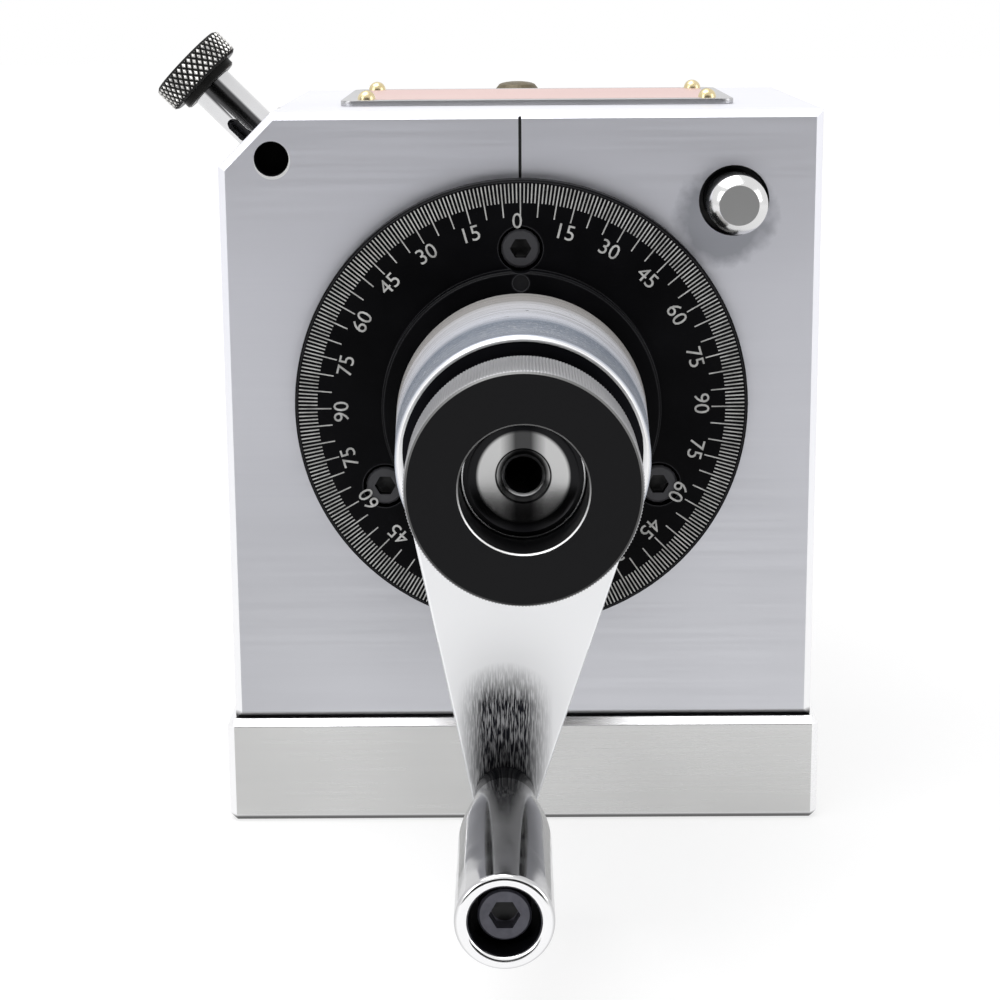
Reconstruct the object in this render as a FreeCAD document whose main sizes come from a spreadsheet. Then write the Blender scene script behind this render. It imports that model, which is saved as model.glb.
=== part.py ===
import FreeCAD, Part
import math
import os
import re
import sys

import Sketcher

# Punch former: a dividing spindle in an upright block, turned by a crank.
# X runs to the right as seen from the crank, Y from the crank to the work, Z up.
# The origin is under the spindle axis, in the middle of the base's underside.

SIZES = [
    ("centre_height", 80.0, "table to spindle axis"),
    ("base_width", 111.0, "base across"),
    ("base_proud", 1.0, "base in front of and behind the body"),
    ("base_height", 20.0, "base"),
    ("edge_chamfer", 1.3, "broken edges of base and body"),
    ("body_width", 108.0, "body across"),
    ("body_depth", 86.0, "body along the spindle"),
    ("body_height", 112.4, "body above the base"),
    ("corner_cut", 9.6, "legs of the 45 degree corner cut"),
    ("index_line_width", 0.5, "engraved index line"),
    ("index_line_depth", 0.3, "engraved index line"),
    ("index_line_tail", 2.0, "index line behind the dial"),
    ("running_fit", 0.03, "radial clearance of turning and sliding fits"),
    ("seat_gap", 0.02, "clearance of pieces that are fastened together"),
    ("end_play", 0.1, "axial clearance of the spindle"),
    ("overshoot", 1.0, "how far a cut runs past a face"),
    ("tap_runout", 1.0, "threads deeper than their screws"),
    ("cavity_radius", 38.0, "room for the index wheel"),
    ("cavity_depth", 24.0, "room for the index wheel"),
    ("journal_radius", 17.0, "spindle in its bushes"),
    ("bush_wall", 4.0, "bush"),
    ("front_bush_length", 20.0, "bush"),
    ("rear_bush_length", 26.0, "bush"),
    ("bush_flange_radius", 30.0, "rear bush"),
    ("bush_flange", 5.0, "rear bush"),
    ("bush_screw_circle", 25.5, "rear bush"),
    ("seat_radius", 16.0, "spindle under the wheel and the dial"),
    ("crank_seat_radius", 12.0, "spindle under the crank"),
    ("nut_thread_radius", 9.9, "spindle under the nut"),
    ("spindle_reach", 65.0, "spindle end in front of the body"),
    ("mouth_radius", 8.5, "cone in the spindle end"),
    ("mouth_depth", 1.2, "cone in the spindle end"),
    ("draw_socket_radius", 4.3, "step in the spindle end"),
    ("draw_socket_depth", 2.0, "step in the spindle end"),
    ("spindle_bore_radius", 2.8, "through bore"),
    ("nose_radius", 36.0, "spindle nose"),
    ("nose_thickness", 10.0, "spindle nose"),
    ("nose_tap_floor", 2.0, "left under the nose's threads"),
    ("spigot_radius", 12.0, "locates the slide base"),
    ("spigot_length", 3.0, "locates the slide base"),
    ("wheel_radius", 36.0, "index wheel"),
    ("wheel_rim", 12.0, "index wheel"),
    ("wheel_hub_radius", 33.0, "index wheel"),
    ("notch_count", 24.0, "index wheel"),
    ("notch_depth", 3.6, "index wheel"),
    ("notch_half_width", 2.2, "notch at the rim"),
    ("notch_floor_share", 0.15, "floor of a notch, share of its half width"),
    ("notch_mouth_share", 1.3, "notch just outside the rim, share of its half width"),
    ("washer_thickness", 1.8, "thrust washer"),
    ("thrust_washer_radius", 26.0, "thrust washer"),
    ("plunger_behind", 16.0, "plunger axis behind the body's front"),
    ("plunger_travel", 7.0, "plunger"),
    ("plunger_bore_radius", 6.0, "plunger hole in the body"),
    ("plunger_pin_radius", 2.4, "pin inside the sleeve"),
    ("foot_share", 0.24, "thick end of the pin, share of the room above the wheel"),
    ("guide_share", 0.48, "guide bush, share of the room above the wheel"),
    ("tip_gap", 0.4, "plunger pulled out of a notch"),
    ("tip_share", 0.1, "flat on the pin's tip, share of the notch"),
    ("cone_share", 0.95, "root of the pin's cone, share of the notch"),
    ("cone_short", 0.2, "pin's cone shorter than the notch"),
    ("foot_bevel", 1.0, "thick end of the pin"),
    ("sleeve_radius", 4.0, "neck under the knob"),
    ("neck_length", 11.4, "neck seen above the corner cut"),
    ("knob_radius", 7.9, "pull knob"),
    ("knob_height", 5.1, "pull knob"),
    ("knob_step_radius", 5.75, "dark step under the knob"),
    ("knob_step", 1.4, "dark step under the knob"),
    ("knob_chamfer", 0.6, "pull knob"),
    ("sleeve_below_dog", 4.5, "sleeve below the dog screw"),
    ("spring_wire", 0.5, "half the spring's wire"),
    ("spring_radius", 4.9, "plunger spring, middle of its wire"),
    ("spring_gap", 0.05, "between the spring and its seats"),
    ("spring_pitch", 2.2, "plunger spring"),
    ("slot_half_width", 1.4, "cam slot in the sleeve"),
    ("slot_turn", 30.0, "degrees turned by the knob over the travel"),
    ("slot_spare", 2.1, "cam slot past the travel, so that the tip seats first"),
    ("dog_hole_depth", 5.8, "dog screw below the corner cut"),
    ("dog_hole_radius", 3.03, "access hole"),
    ("dog_screw_length", 6.0, "dog screw"),
    ("dog_point_radius", 1.2, "dog screw"),
    ("dog_point_reach", 1.0, "dog screw's point in the sleeve"),
    ("dog_head_gap", 0.1, "dog screw from the guide bush"),
    ("dial_radius", 40.8, "dial"),
    ("dial_back", 1.0, "dial in front of the body"),
    ("dial_face", 5.0, "dial in front of the body"),
    ("dial_spigot_radius", 37.4, "dial inside the body"),
    ("dial_spigot", 4.0, "dial inside the body"),
    ("dial_chamfer", 0.4, "dial rim"),
    ("dial_screw_circle", 28.6, "dial screws"),
    ("dial_screw_count", 3.0, "dial screws"),
    ("counterbore_radius", 4.0, "dial screws"),
    ("counterbore_depth", 4.3, "dial screws"),
    ("boss_radius", 25.0, "dial boss"),
    ("boss_face", 8.6, "boss in front of the body"),
    ("boss_neck_radius", 20.6, "between boss and crank"),
    ("set_screw_circle", 22.9, "set screw in the boss"),
    ("set_screw_radius", 1.5, "set screw in the boss"),
    ("set_screw_depth", 5.0, "set screw's hole"),
    ("set_screw_length", 4.5, "set screw"),
    ("set_screw_sunk", 0.3, "set screw below the boss face"),
    ("hub_back", 14.15, "crank hub in front of the body"),
    ("hub_front", 53.8, "crank hub in front of the body"),
    ("hub_back_radius", 22.0, "crank hub"),
    ("hub_front_radius", 20.5, "crank hub"),
    ("hub_chamfer", 0.75, "crank hub"),
    ("crank_radius", 55.6, "spindle axis to grip axis"),
    ("crank_lean", 3.3, "degrees from hanging straight down"),
    ("arm_thickness", 11.0, "crank arm"),
    ("arm_root_radius", 19.75, "crank arm at the hub"),
    ("arm_end_radius", 5.5, "crank arm at the grip"),
    ("key_width", 5.0, "crank key"),
    ("key_length", 24.0, "crank key"),
    ("crank_washer_radius", 14.5, "washer under the nut"),
    ("nut_back", 59.3, "nut in front of the body"),
    ("nut_length", 15.0, "knurled nut"),
    ("nut_radius", 18.36, "knurled nut"),
    ("nut_chamfer", 0.9, "knurled nut"),
    ("grip_gap", 0.4, "between grip and arm"),
    ("grip_end", 108.0, "grip end in front of the body"),
    ("grip_neck_radius", 4.8, "grip"),
    ("grip_neck_length", 11.0, "grip"),
    ("grip_flare", 13.0, "grip"),
    ("grip_radius", 7.25, "grip"),
    ("grip_rim", 1.2, "rounded end of the grip"),
    ("grip_blend", 14.0, "radius that blends neck, flare and barrel"),
    ("axle_radius", 3.0, "grip axle"),
    ("axle_head_radius", 3.9, "grip axle"),
    ("axle_head_height", 5.0, "grip axle"),
    ("axle_head_sunk", 3.0, "grip axle head below the grip's end"),
    ("axle_head_gap", 0.1, "grip axle head above its seat"),
    ("grip_counterbore", 5.2, "grip end"),
    ("axle_thread_length", 9.0, "grip axle in the arm"),
    ("axle_thread_radius", 2.5, "grip axle in the arm"),
    ("stop_pin_x", 38.2, "stop pin from the middle"),
    ("stop_pin_height", 116.4, "stop pin above the table"),
    ("stop_pin_radius", 5.2, "stop pin"),
    ("stop_pin_shank", 5.0, "stop pin inside the body"),
    ("stop_pin_step", 0.4, "thick part of the pin from the body's face"),
    ("stop_pin_reach", 10.0, "stop pin in front of the body"),
    ("stop_pin_depth", 20.0, "stop pin inside the body"),
    ("stop_pin_chamfer", 1.6, "stop pin"),
    ("stop_pin_recess_radius", 6.2, "ring round the stop pin"),
    ("stop_pin_recess", 6.0, "ring round the stop pin"),
    ("plate_width", 73.2, "nameplate"),
    ("plate_depth", 46.0, "nameplate"),
    ("plate_thickness", 1.0, "nameplate"),
    ("plate_x", 3.3, "nameplate's middle"),
    ("plate_y", 0.0, "nameplate's middle"),
    ("plate_corner", 2.5, "nameplate"),
    ("plate_screw_inset", 4.7, "nameplate screws from its edges"),
    ("plate_screw_radius", 0.9, "nameplate screws"),
    ("plate_screw_head", 1.7, "nameplate screws"),
    ("plate_screw_depth", 5.0, "nameplate screws in the body"),
    ("base_screw_x", 42.0, "base screws from the middle"),
    ("base_screw_y", 31.0, "base screws from the middle"),
    ("big_screw_radius", 3.0, "M6 screws"),
    ("big_head_radius", 5.0, "M6 screws"),
    ("big_head_height", 6.0, "M6 screws"),
    ("base_screw_length", 26.0, "base screws below the head"),
    ("screw_radius", 2.0, "M4 screws"),
    ("head_radius", 3.5, "M4 screws"),
    ("head_height", 4.0, "M4 screws"),
    ("screw_length", 9.0, "M4 screws below the head"),
    ("screw_hole_gap", 0.25, "clearance round a screw"),
    ("big_head_gap", 0.5, "clearance round an M6 head"),
    ("big_head_sunk", 0.8, "M6 heads below the base"),
    ("head_sunk", 0.2, "M4 heads below their face"),
    ("socket_share", 0.55, "hexagon socket, share of the head"),
    ("slide_base_width", 62.0, "slide base"),
    ("slide_base_height", 80.0, "slide base"),
    ("slide_base_depth", 20.0, "slide base"),
    ("slide_base_screw_circle", 29.0, "slide base screws"),
    ("slide_screw_sunk", 1.0, "slide base screws below the dovetail"),
    ("dovetail_half_width", 13.0, "dovetail at its mouth"),
    ("dovetail_depth", 8.0, "dovetail"),
    ("dovetail_angle", 30.0, "degrees of the dovetail's flanks"),
    ("gib_thickness", 4.0, "gib strip"),
    ("gib_end_gap", 0.1, "gib from its slot's floor and mouth"),
    ("gib_shorter", 2.0, "gib shorter than the slide base"),
    ("gib_fit", 0.045, "gib from the dovetail"),
    ("gib_screw_pitch", 24.0, "gib screws"),
    ("gib_screw_bite", 0.3, "gib screw from the gib, share of the dovetail's depth"),
    ("slide_height", 60.0, "sliding plate"),
    ("slide_width", 44.0, "sliding plate"),
    ("slide_plate", 8.0, "sliding plate"),
    ("vee_length", 50.0, "V-block"),
    ("vee_width", 34.0, "V-block"),
    ("vee_top", 2.0, "V-block's top above the axis"),
    ("vee_bottom", 24.0, "V-block's foot below the axis"),
    ("vee_apex", 10.0, "bottom of the V below the axis"),
    ("vee_relief", 1.0, "half width of the slot under the V"),
    ("vee_relief_depth", 2.0, "slot under the V"),
    ("yoke_depth", 16.0, "clamp yoke along the spindle"),
    ("yoke_leg", 7.0, "clamp yoke"),
    ("yoke_foot", 14.0, "yoke's feet below the axis"),
    ("yoke_bridge", 10.0, "clamp yoke"),
    ("yoke_corner", 5.0, "clamp yoke's top corners"),
    ("yoke_screw_lift", 4.0, "yoke screws above the yoke's feet"),
    ("yoke_screw_pitch", 8.0, "yoke screws"),
    ("clamp_reach", 21.3, "clamp screw above the yoke"),
    ("pad_radius", 6.0, "clamp pad"),
    ("pad_height", 5.0, "clamp pad"),
    ("pad_bottom", 6.0, "clamp pad above the axis"),
    ("clamp_tip", 2.5, "clamp screw in the pad"),
    ("pad_play", 0.1, "clamp screw in the pad"),
    ("bracket_thickness", 9.0, "bracket of the adjusting screw"),
    ("bracket_width", 40.0, "bracket of the adjusting screw"),
    ("bracket_screw_x", 14.0, "bracket screws from the middle"),
    ("bracket_back", 0.5, "bracket from the spindle's nose"),
    ("collar_radius", 4.8, "adjusting screw"),
    ("collar_height", 2.0, "adjusting screw"),
    ("collar_gap", 0.2, "collar in its recess"),
    ("collar_play", 0.1, "adjusting screw between bracket and slide base"),
    ("adjust_reach", 22.0, "adjusting screw in the slide"),
    ("adjust_tap", 45.0, "thread of the adjusting screw in the slide"),
]

doc = FreeCAD.newDocument("PunchFormer")
sheet = doc.addObject("Spreadsheet::Sheet", "Sizes")
for row, (alias, number, note) in enumerate(SIZES, start=1):
    sheet.set("A%d" % row, note)
    sheet.set("B%d" % row, str(number))
    sheet.setAlias("B%d" % row, alias)
doc.recompute()

ALIASES = {alias for alias, number, note in SIZES}
AXES = {"+x": (0, 1, 0, 90), "-x": (0, 1, 0, -90), "+y": (1, 0, 0, -90),
        "-y": (1, 0, 0, 90), "+z": (0, 0, 1, 0), "-z": (1, 0, 0, 180)}
SUB_PARTS = []
FIRST_GUESS = 50
FIRST_TURN = 0.3

# Places that several pieces share, as formulas of the sizes
FRONT = "(-body_depth / 2)"
BACK = "(body_depth / 2)"
AXIS = "centre_height"
WHEEL_BACK = "(-body_depth / 2 + plunger_behind + wheel_rim / 2)"
WHEEL_SHOULDER = "(-body_depth / 2 + plunger_behind - wheel_rim / 2)"
WHEEL_FRONT = "(-body_depth / 2 + dial_spigot - dial_back)"
NOSE_FRONT = "(body_depth / 2 + end_play)"
NOSE_BACK = "(body_depth / 2 + end_play + nose_thickness)"
SLIDE_FACE = "(body_depth / 2 + end_play + nose_thickness + slide_base_depth)"
SLIDE_FRONT = "(body_depth / 2 + end_play + nose_thickness + slide_base_depth + running_fit)"
VEE_FRONT = ("(body_depth / 2 + end_play + nose_thickness + slide_base_depth"
             " + running_fit + slide_plate)")
YOKE_Y = ("(body_depth / 2 + end_play + nose_thickness + slide_base_depth"
          " + slide_plate + vee_length / 2)")
SCREW_Y = "(body_depth / 2 + end_play + nose_thickness + slide_base_depth - dovetail_depth / 2)"
CRANK_X = "(-crank_radius * sin(crank_lean))"
CRANK_Z = "(-crank_radius * cos(crank_lean))"
# Distance of the corner cut from the spindle axis, along the plunger
CUT = ("((body_width / 2 - corner_cut + base_height + body_height - centre_height)"
       " * sqrt(2) / 2)")
BODY_TOP = "(base_height + body_height)"
YOKE_UNDER = "(slide_height / 2 - yoke_bridge)"
CLAMP_TOP = "(slide_height / 2 + clamp_reach)"
# Facets of the plunger spring, and holes that make its sleeve's cam slot and the slot's spare end
WIRE_STEPS = 12
WIRE_SIDES = 6
CAM_STEPS = 9
SPARE_STEPS = 3


def formula(text):
    """Point each size in a formula at its cell."""
    def cell(found):
        word = found.group(0)
        return "Sizes." + word if word in ALIASES else word
    return re.sub(r"[a-z_]+", cell, str(text))


def size(alias):
    return float(sheet.get(alias))


def bind(thing, **formulas):
    for name, text in formulas.items():
        thing.setExpression(name.replace("__", "."), formula(text))


def place(thing, at=("0", "0", "0"), turn=(0, 0, 1, 0)):
    rotation = FreeCAD.Rotation(FreeCAD.Vector(*turn[:3]), turn[3])
    thing.Placement = FreeCAD.Placement(FreeCAD.Vector(0, 0, 0), rotation)
    bind(thing, Placement__Base__x=at[0], Placement__Base__y=at[1], Placement__Base__z=at[2])


def new_body(label, at=("0", "0", AXIS), turn=(0, 0, 1, 0)):
    body = doc.addObject("PartDesign::Body", label)
    place(body, at, turn)
    return body


def new_sketch(body, name, plane, offset="0"):
    sketch = body.newObject("Sketcher::SketchObject", name)
    support = [f for f in body.Origin.OriginFeatures if f.Role == plane]
    sketch.AttachmentSupport = [(support[0], "")]
    sketch.MapMode = "FlatFace"
    bind(sketch, AttachmentOffset__Base__z=offset)
    return sketch


def polygon(body, name, plane, corners, offset="0"):
    """A closed outline whose corners are each set from the sketch's origin."""
    sketch = new_sketch(body, name, plane, offset)
    count = len(corners)
    # A round first guess, off the axes, that the rules then pull into place
    turns = [2 * math.pi * (i + FIRST_TURN) / count for i in range(count)]
    start = [FreeCAD.Vector(FIRST_GUESS * math.cos(a), FIRST_GUESS * math.sin(a), 0) for a in turns]
    sides = [Part.LineSegment(start[i], start[(i + 1) % count]) for i in range(count)]
    sketch.addGeometry(sides, False)
    rules = [Sketcher.Constraint("Coincident", i, 2, (i + 1) % count, 1) for i in range(count)]
    for i, corner in enumerate(start):
        rules.append(Sketcher.Constraint("DistanceX", -1, 1, i, 1, corner.x))
        rules.append(Sketcher.Constraint("DistanceY", -1, 1, i, 1, corner.y))
    sketch.addConstraint(rules)
    for i, (across, up) in enumerate(corners):
        sketch.setExpression("Constraints[%d]" % (count + 2 * i), formula(across))
        sketch.setExpression("Constraints[%d]" % (count + 2 * i + 1), formula(up))
    return sketch


def circle(body, name, plane, centre, radius, offset="0"):
    sketch = new_sketch(body, name, plane, offset)
    middle = FreeCAD.Vector(FIRST_GUESS, FIRST_GUESS, 0)
    sketch.addGeometry(Part.Circle(middle, FreeCAD.Vector(0, 0, 1), 1), False)
    sketch.addConstraint([Sketcher.Constraint("DistanceX", -1, 1, 0, 3, FIRST_GUESS),
                          Sketcher.Constraint("DistanceY", -1, 1, 0, 3, FIRST_GUESS),
                          Sketcher.Constraint("Radius", 0, 1)])
    for i, text in enumerate((centre[0], centre[1], radius)):
        sketch.setExpression("Constraints[%d]" % i, formula(text))
    return sketch


def feature(body, kind, name, sketch, **formulas):
    made = body.newObject("PartDesign::" + kind, name)
    made.Profile = sketch
    bind(made, **formulas)
    return made


def pad(body, name, sketch, length, both=False, back=False):
    made = feature(body, "Pad", name, sketch, Length=length)
    made.SideType = "Symmetric" if both else "One side"
    made.Reversed = back
    return made


def pocket(body, name, sketch, length, both=False, back=False):
    made = feature(body, "Pocket", name, sketch, Length=length)
    made.SideType = "Symmetric" if both else "One side"
    made.Reversed = back
    return made


def revolve(body, name, sketch, axis="H_Axis", kind="Revolution"):
    made = feature(body, kind, name, sketch)
    made.ReferenceAxis = (sketch, [axis])
    made.Angle = 360
    return made


def turned(label, corners, at=("0", "0", AXIS)):
    """A piece turned about an axis along Y: corners are (along the axis, radius)."""
    body = new_body(label, at)
    sketch = polygon(body, label + "_profile", "YZ_Plane", corners)
    revolve(body, label + "_turning", sketch)
    return body


def ring(label, front, back, inner, outer, at=("0", "0", AXIS)):
    return turned(label, [(front, inner), (back, inner), (back, outer), (front, outer)], at)


def bore(body, name, at, along, radius, length):
    """Drill a round hole in a body, from a place and along an axis."""
    drill = body.newObject("PartDesign::SubtractiveCylinder", name)
    bind(drill, Radius=radius, Height=length)
    place(drill, at, AXES[along])
    return drill


def rod(name, at, along, radius, length):
    made = doc.addObject("Part::Cylinder", name)
    bind(made, Radius=radius, Height=length)
    place(made, at, AXES[along])
    return made


def shifted(at, along, distance):
    """The place at, moved along an axis by a formula."""
    sign = "+" if along[0] == "+" else "-"
    moved = list(at)
    index = "xyz".index(along[1])
    moved[index] = "(%s) %s (%s)" % (at[index], sign, distance)
    return tuple(moved)


def opposite(along):
    return ("-" if along[0] == "+" else "+") + along[1]


def cap_screw(name, at, along, radius, length, head_radius, head_height):
    """A socket cap screw: at is the seat under its head, along points the way it goes in."""
    shank = rod(name + "_shank", at, along, radius, length)
    head = rod(name + "_head", at, opposite(along), head_radius, head_height)
    whole = doc.addObject("Part::Fuse", name + "_blank")
    whole.Base = shank
    whole.Tool = head
    socket = doc.addObject("Part::Prism", name + "_socket")
    socket.Polygon = 6
    bind(socket, Circumradius="(%s) * socket_share" % head_radius,
         Height="(%s) * socket_share" % head_height)
    place(socket, shifted(at, opposite(along), head_height), AXES[along])
    screw = doc.addObject("Part::Cut", name)
    screw.Base = whole
    screw.Tool = socket
    return screw


def group(label, pieces):
    made = doc.addObject("Part::Compound", label)
    made.Links = pieces
    return made


def keep(thing):
    """Count an object as a finished sub-part."""
    SUB_PARTS.append(thing)
    return thing


def edges_where(shape, test):
    return ["Edge%d" % (i + 1) for i, edge in enumerate(shape.Edges) if test(edge)]


def break_edges(body, name, base, chosen, amount, kind="Chamfer"):
    made = body.newObject("PartDesign::" + kind, name)
    made.Base = (base, chosen)
    bind(made, **{"Size" if kind == "Chamfer" else "Radius": amount})
    return made


# Housing

def make_base_plate():
    body = new_body("base_plate", ("0", "0", "0"))
    half = "(base_width / 2)"
    deep = "(body_depth / 2 + base_proud)"
    outline = polygon(body, "base_outline", "XY_Plane",
                      [("-" + half, "-" + deep), (half, "-" + deep), (half, deep), ("-" + half, deep)])
    slab = pad(body, "base_slab", outline, "base_height")
    doc.recompute()
    chosen = edges_where(slab.Shape, lambda edge: True)
    break_edges(body, "base_chamfer", slab, chosen, "edge_chamfer")
    for i, (across, along) in enumerate(base_screw_places()):
        at = (across, along, "0")
        bore(body, "base_hole%d" % i, at, "+z", "big_screw_radius + screw_hole_gap", "base_height")
        bore(body, "base_sink%d" % i, at, "+z", "big_head_radius + big_head_gap",
             "big_head_height + big_head_sunk + head_sunk")
    return keep(body)


def base_screw_places():
    return [(a + "base_screw_x", b + "base_screw_y") for a in ("-", "") for b in ("-", "")]


def make_housing_block():
    """Block with its corner cut, drawn from the spindle axis."""
    body = new_body("housing_block")
    half = "(body_width / 2)"
    low = "(base_height - centre_height)"
    top = "(base_height + body_height - centre_height)"
    outline = polygon(body, "housing_outline", "XZ_Plane",
                      [("-" + half, low), (half, low), (half, top),
                       ("-" + half + " + corner_cut", top), ("-" + half, top + " - corner_cut")])
    block = pad(body, "housing_pad", outline, "body_depth", both=True)
    doc.recompute()
    face = size("body_depth") / 2
    chosen = edges_where(block.Shape, lambda e: abs(abs(e.BoundBox.Center.y) - face) < 0.001)
    break_edges(body, "housing_chamfer", block, chosen, "edge_chamfer")
    outer = "journal_radius + running_fit + bush_wall + seat_gap"
    room = polygon(body, "housing_room", "YZ_Plane",
                   [(FRONT, "0"), (BACK, "0"), (BACK, "bush_flange_radius + seat_gap"),
                    (BACK + " - bush_flange", "bush_flange_radius + seat_gap"),
                    (BACK + " - bush_flange", outer), (FRONT + " + cavity_depth", outer),
                    (FRONT + " + cavity_depth", "cavity_radius"), (FRONT, "cavity_radius")])
    revolve(body, "housing_boring", room, kind="Groove")
    drill = bore(body, "plunger_hole", ("0", FRONT + " + plunger_behind", "0"), "+z",
                 "plunger_bore_radius + running_fit", CUT + " + overshoot")
    drill.Placement = FreeCAD.Placement(drill.Placement.Base, FreeCAD.Rotation(FreeCAD.Vector(0, 1, 0), -45))
    diagonal = dog_screw_place()
    bore(body, "dog_hole", ("-" + diagonal, FRONT, diagonal), "+y", "dog_hole_radius", "plunger_behind")
    pin_at = ("stop_pin_x", FRONT, "stop_pin_height - centre_height")
    bore(body, "pin_recess", pin_at, "+y", "stop_pin_recess_radius", "stop_pin_recess")
    bore(body, "pin_hole", pin_at, "+y", "stop_pin_shank + seat_gap", "stop_pin_depth + seat_gap")
    line = polygon(body, "index_line_outline", "XZ_Plane",
                   [("-index_line_width / 2", "dial_radius - index_line_tail"),
                    ("index_line_width / 2", "dial_radius - index_line_tail"),
                    ("index_line_width / 2", top + " + overshoot"),
                    ("-index_line_width / 2", top + " + overshoot")],
                   "body_depth / 2 - index_line_depth")
    pocket(body, "index_line", line, "index_line_depth + overshoot", back=True)
    for i, (across, along) in enumerate(base_screw_places()):
        bore(body, "base_tap%d" % i, (across, along, low), "+z", "big_screw_radius + seat_gap",
             "base_screw_length - base_height + big_head_height + big_head_sunk + tap_runout")
    for i, (across, along) in enumerate(plate_screw_places()):
        bore(body, "plate_tap%d" % i, (across, along, top), "-z", "plate_screw_radius + seat_gap",
             "plate_screw_depth + seat_gap")
    for i, (across, up) in enumerate(bush_screw_places()):
        bore(body, "bush_tap%d" % i, (across, BACK + " - bush_flange", up), "-y", "screw_radius + seat_gap",
             "screw_length - bush_flange + head_height + tap_runout")
    return keep(body)


def plate_screw_places(middle_x="plate_x", middle_y="plate_y"):
    across = "(plate_width / 2 - plate_screw_inset)"
    along = "(plate_depth / 2 - plate_screw_inset)"
    return [("%s %s %s" % (middle_x, a, across), "%s %s %s" % (middle_y, b, along))
            for a in "-+" for b in "-+"]


def bush_screw_places():
    reach = "(bush_screw_circle * sqrt(2) / 2)"
    return [(a + reach, b + reach) for a in ("-", "") for b in ("-", "")]


def make_base_screws():
    screws = [cap_screw("base_screw%d" % i, (across, along, "big_head_height + big_head_sunk"), "+z",
                        "big_screw_radius", "base_screw_length", "big_head_radius", "big_head_height")
              for i, (across, along) in enumerate(base_screw_places())]
    return keep(group("base_screws", screws))


def make_bushes():
    inner = "journal_radius + running_fit"
    outer = "journal_radius + running_fit + bush_wall"
    start = FRONT + " + cavity_depth"
    keep(ring("front_bush", start, start + " + front_bush_length", inner, outer))
    rear = turned("rear_bush", [(BACK + " - rear_bush_length", inner), (BACK, inner),
                                (BACK, "bush_flange_radius"), (BACK + " - bush_flange", "bush_flange_radius"),
                                (BACK + " - bush_flange", outer), (BACK + " - rear_bush_length", outer)])
    for i, (across, up) in enumerate(bush_screw_places()):
        at = (across, BACK, up)
        bore(rear, "bush_hole%d" % i, at, "-y", "screw_radius + screw_hole_gap", "bush_flange")
        bore(rear, "bush_sink%d" % i, at, "-y", "head_radius + screw_hole_gap", "head_height")
    keep(rear)
    screws = [cap_screw("bush_screw%d" % i, (across, BACK + " - head_height", AXIS + " + " + up), "-y",
                        "screw_radius", "screw_length", "head_radius", "head_height - head_sunk")
              for i, (across, up) in enumerate(bush_screw_places())]
    return keep(group("bush_screws", screws))


def make_stop_pin():
    """Its shank in the body is a little thinner than the part that stands out."""
    front = FRONT + " - stop_pin_reach"
    back = FRONT + " + stop_pin_depth"
    step = FRONT + " - stop_pin_step"
    return keep(turned("stop_pin", [(front, "0"), (back, "0"), (back, "stop_pin_shank"),
                                    (step, "stop_pin_shank"), (step, "stop_pin_radius"),
                                    (front + " + stop_pin_chamfer", "stop_pin_radius"),
                                    (front, "stop_pin_radius - stop_pin_chamfer")],
                       ("stop_pin_x", "0", "stop_pin_height")))


def make_nameplate():
    body = new_body("nameplate", ("plate_x", "plate_y", BODY_TOP))
    across = "plate_width / 2"
    along = "plate_depth / 2"
    outline = polygon(body, "plate_outline", "XY_Plane",
                      [("-" + across, "-" + along), (across, "-" + along), (across, along), ("-" + across, along)])
    sheet_metal = pad(body, "plate_pad", outline, "plate_thickness")
    doc.recompute()
    upright = edges_where(sheet_metal.Shape, lambda e: e.BoundBox.ZLength > size("plate_thickness") / 2)
    break_edges(body, "plate_corners", sheet_metal, upright, "plate_corner", "Fillet")
    for i, (across, along) in enumerate(plate_screw_places("0", "0")):
        bore(body, "plate_hole%d" % i, (across, along, "0"), "+z", "plate_screw_radius + screw_hole_gap",
             "plate_thickness")
    keep(body)
    screws = []
    for i, (across, along) in enumerate(plate_screw_places()):
        name = "plate_screw%d" % i
        seat = (across, along, BODY_TOP + " + plate_thickness")
        shank = rod(name + "_shank", seat, "-z", "plate_screw_radius", "plate_thickness + plate_screw_depth")
        dome = doc.addObject("Part::Sphere", name + "_dome")
        dome.Angle1 = 0
        bind(dome, Radius="plate_screw_head")
        place(dome, seat)
        screw = doc.addObject("Part::Fuse", name)
        screw.Base = shank
        screw.Tool = dome
        screws.append(screw)
    return keep(group("nameplate_screws", screws))


# Index plunger, drawn along its own axis: Z is the distance from the spindle axis

DIAGONAL = (0, 1, 0, -45)
PLUNGER_AT = ("0", FRONT + " + plunger_behind", AXIS)
# The tip stands clear of the wheel by the travel less the depth that it enters the notch
TIP = "(wheel_radius - notch_depth + tip_gap + plunger_travel)"
PIN_SHOULDER = "(wheel_radius + tip_gap + plunger_travel)"
PLUNGER_ROOM = "(%s - %s)" % (CUT, PIN_SHOULDER)
FOOT_TOP = "(%s + foot_share * %s)" % (PIN_SHOULDER, PLUNGER_ROOM)
GUIDE_FOOT = "(%s - guide_share * %s)" % (CUT, PLUNGER_ROOM)
DOG = "(%s - dog_hole_depth)" % CUT
SLEEVE_FOOT = "(%s - sleeve_below_dog)" % DOG


def make_plunger_pin():
    body = new_body("plunger_pin", PLUNGER_AT, DIAGONAL)
    sketch = polygon(body, "pin_profile", "XZ_Plane",
                     [("0", TIP), ("notch_half_width * tip_share", TIP),
                      ("notch_half_width * cone_share", PIN_SHOULDER + " - cone_short"),
                      ("plunger_bore_radius", PIN_SHOULDER + " + foot_bevel"), ("plunger_bore_radius", FOOT_TOP),
                      ("plunger_pin_radius", FOOT_TOP), ("plunger_pin_radius", CUT + " + neck_length"),
                      ("0", CUT + " + neck_length")])
    revolve(body, "pin_turning", sketch, "V_Axis")
    return keep(body)


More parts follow.
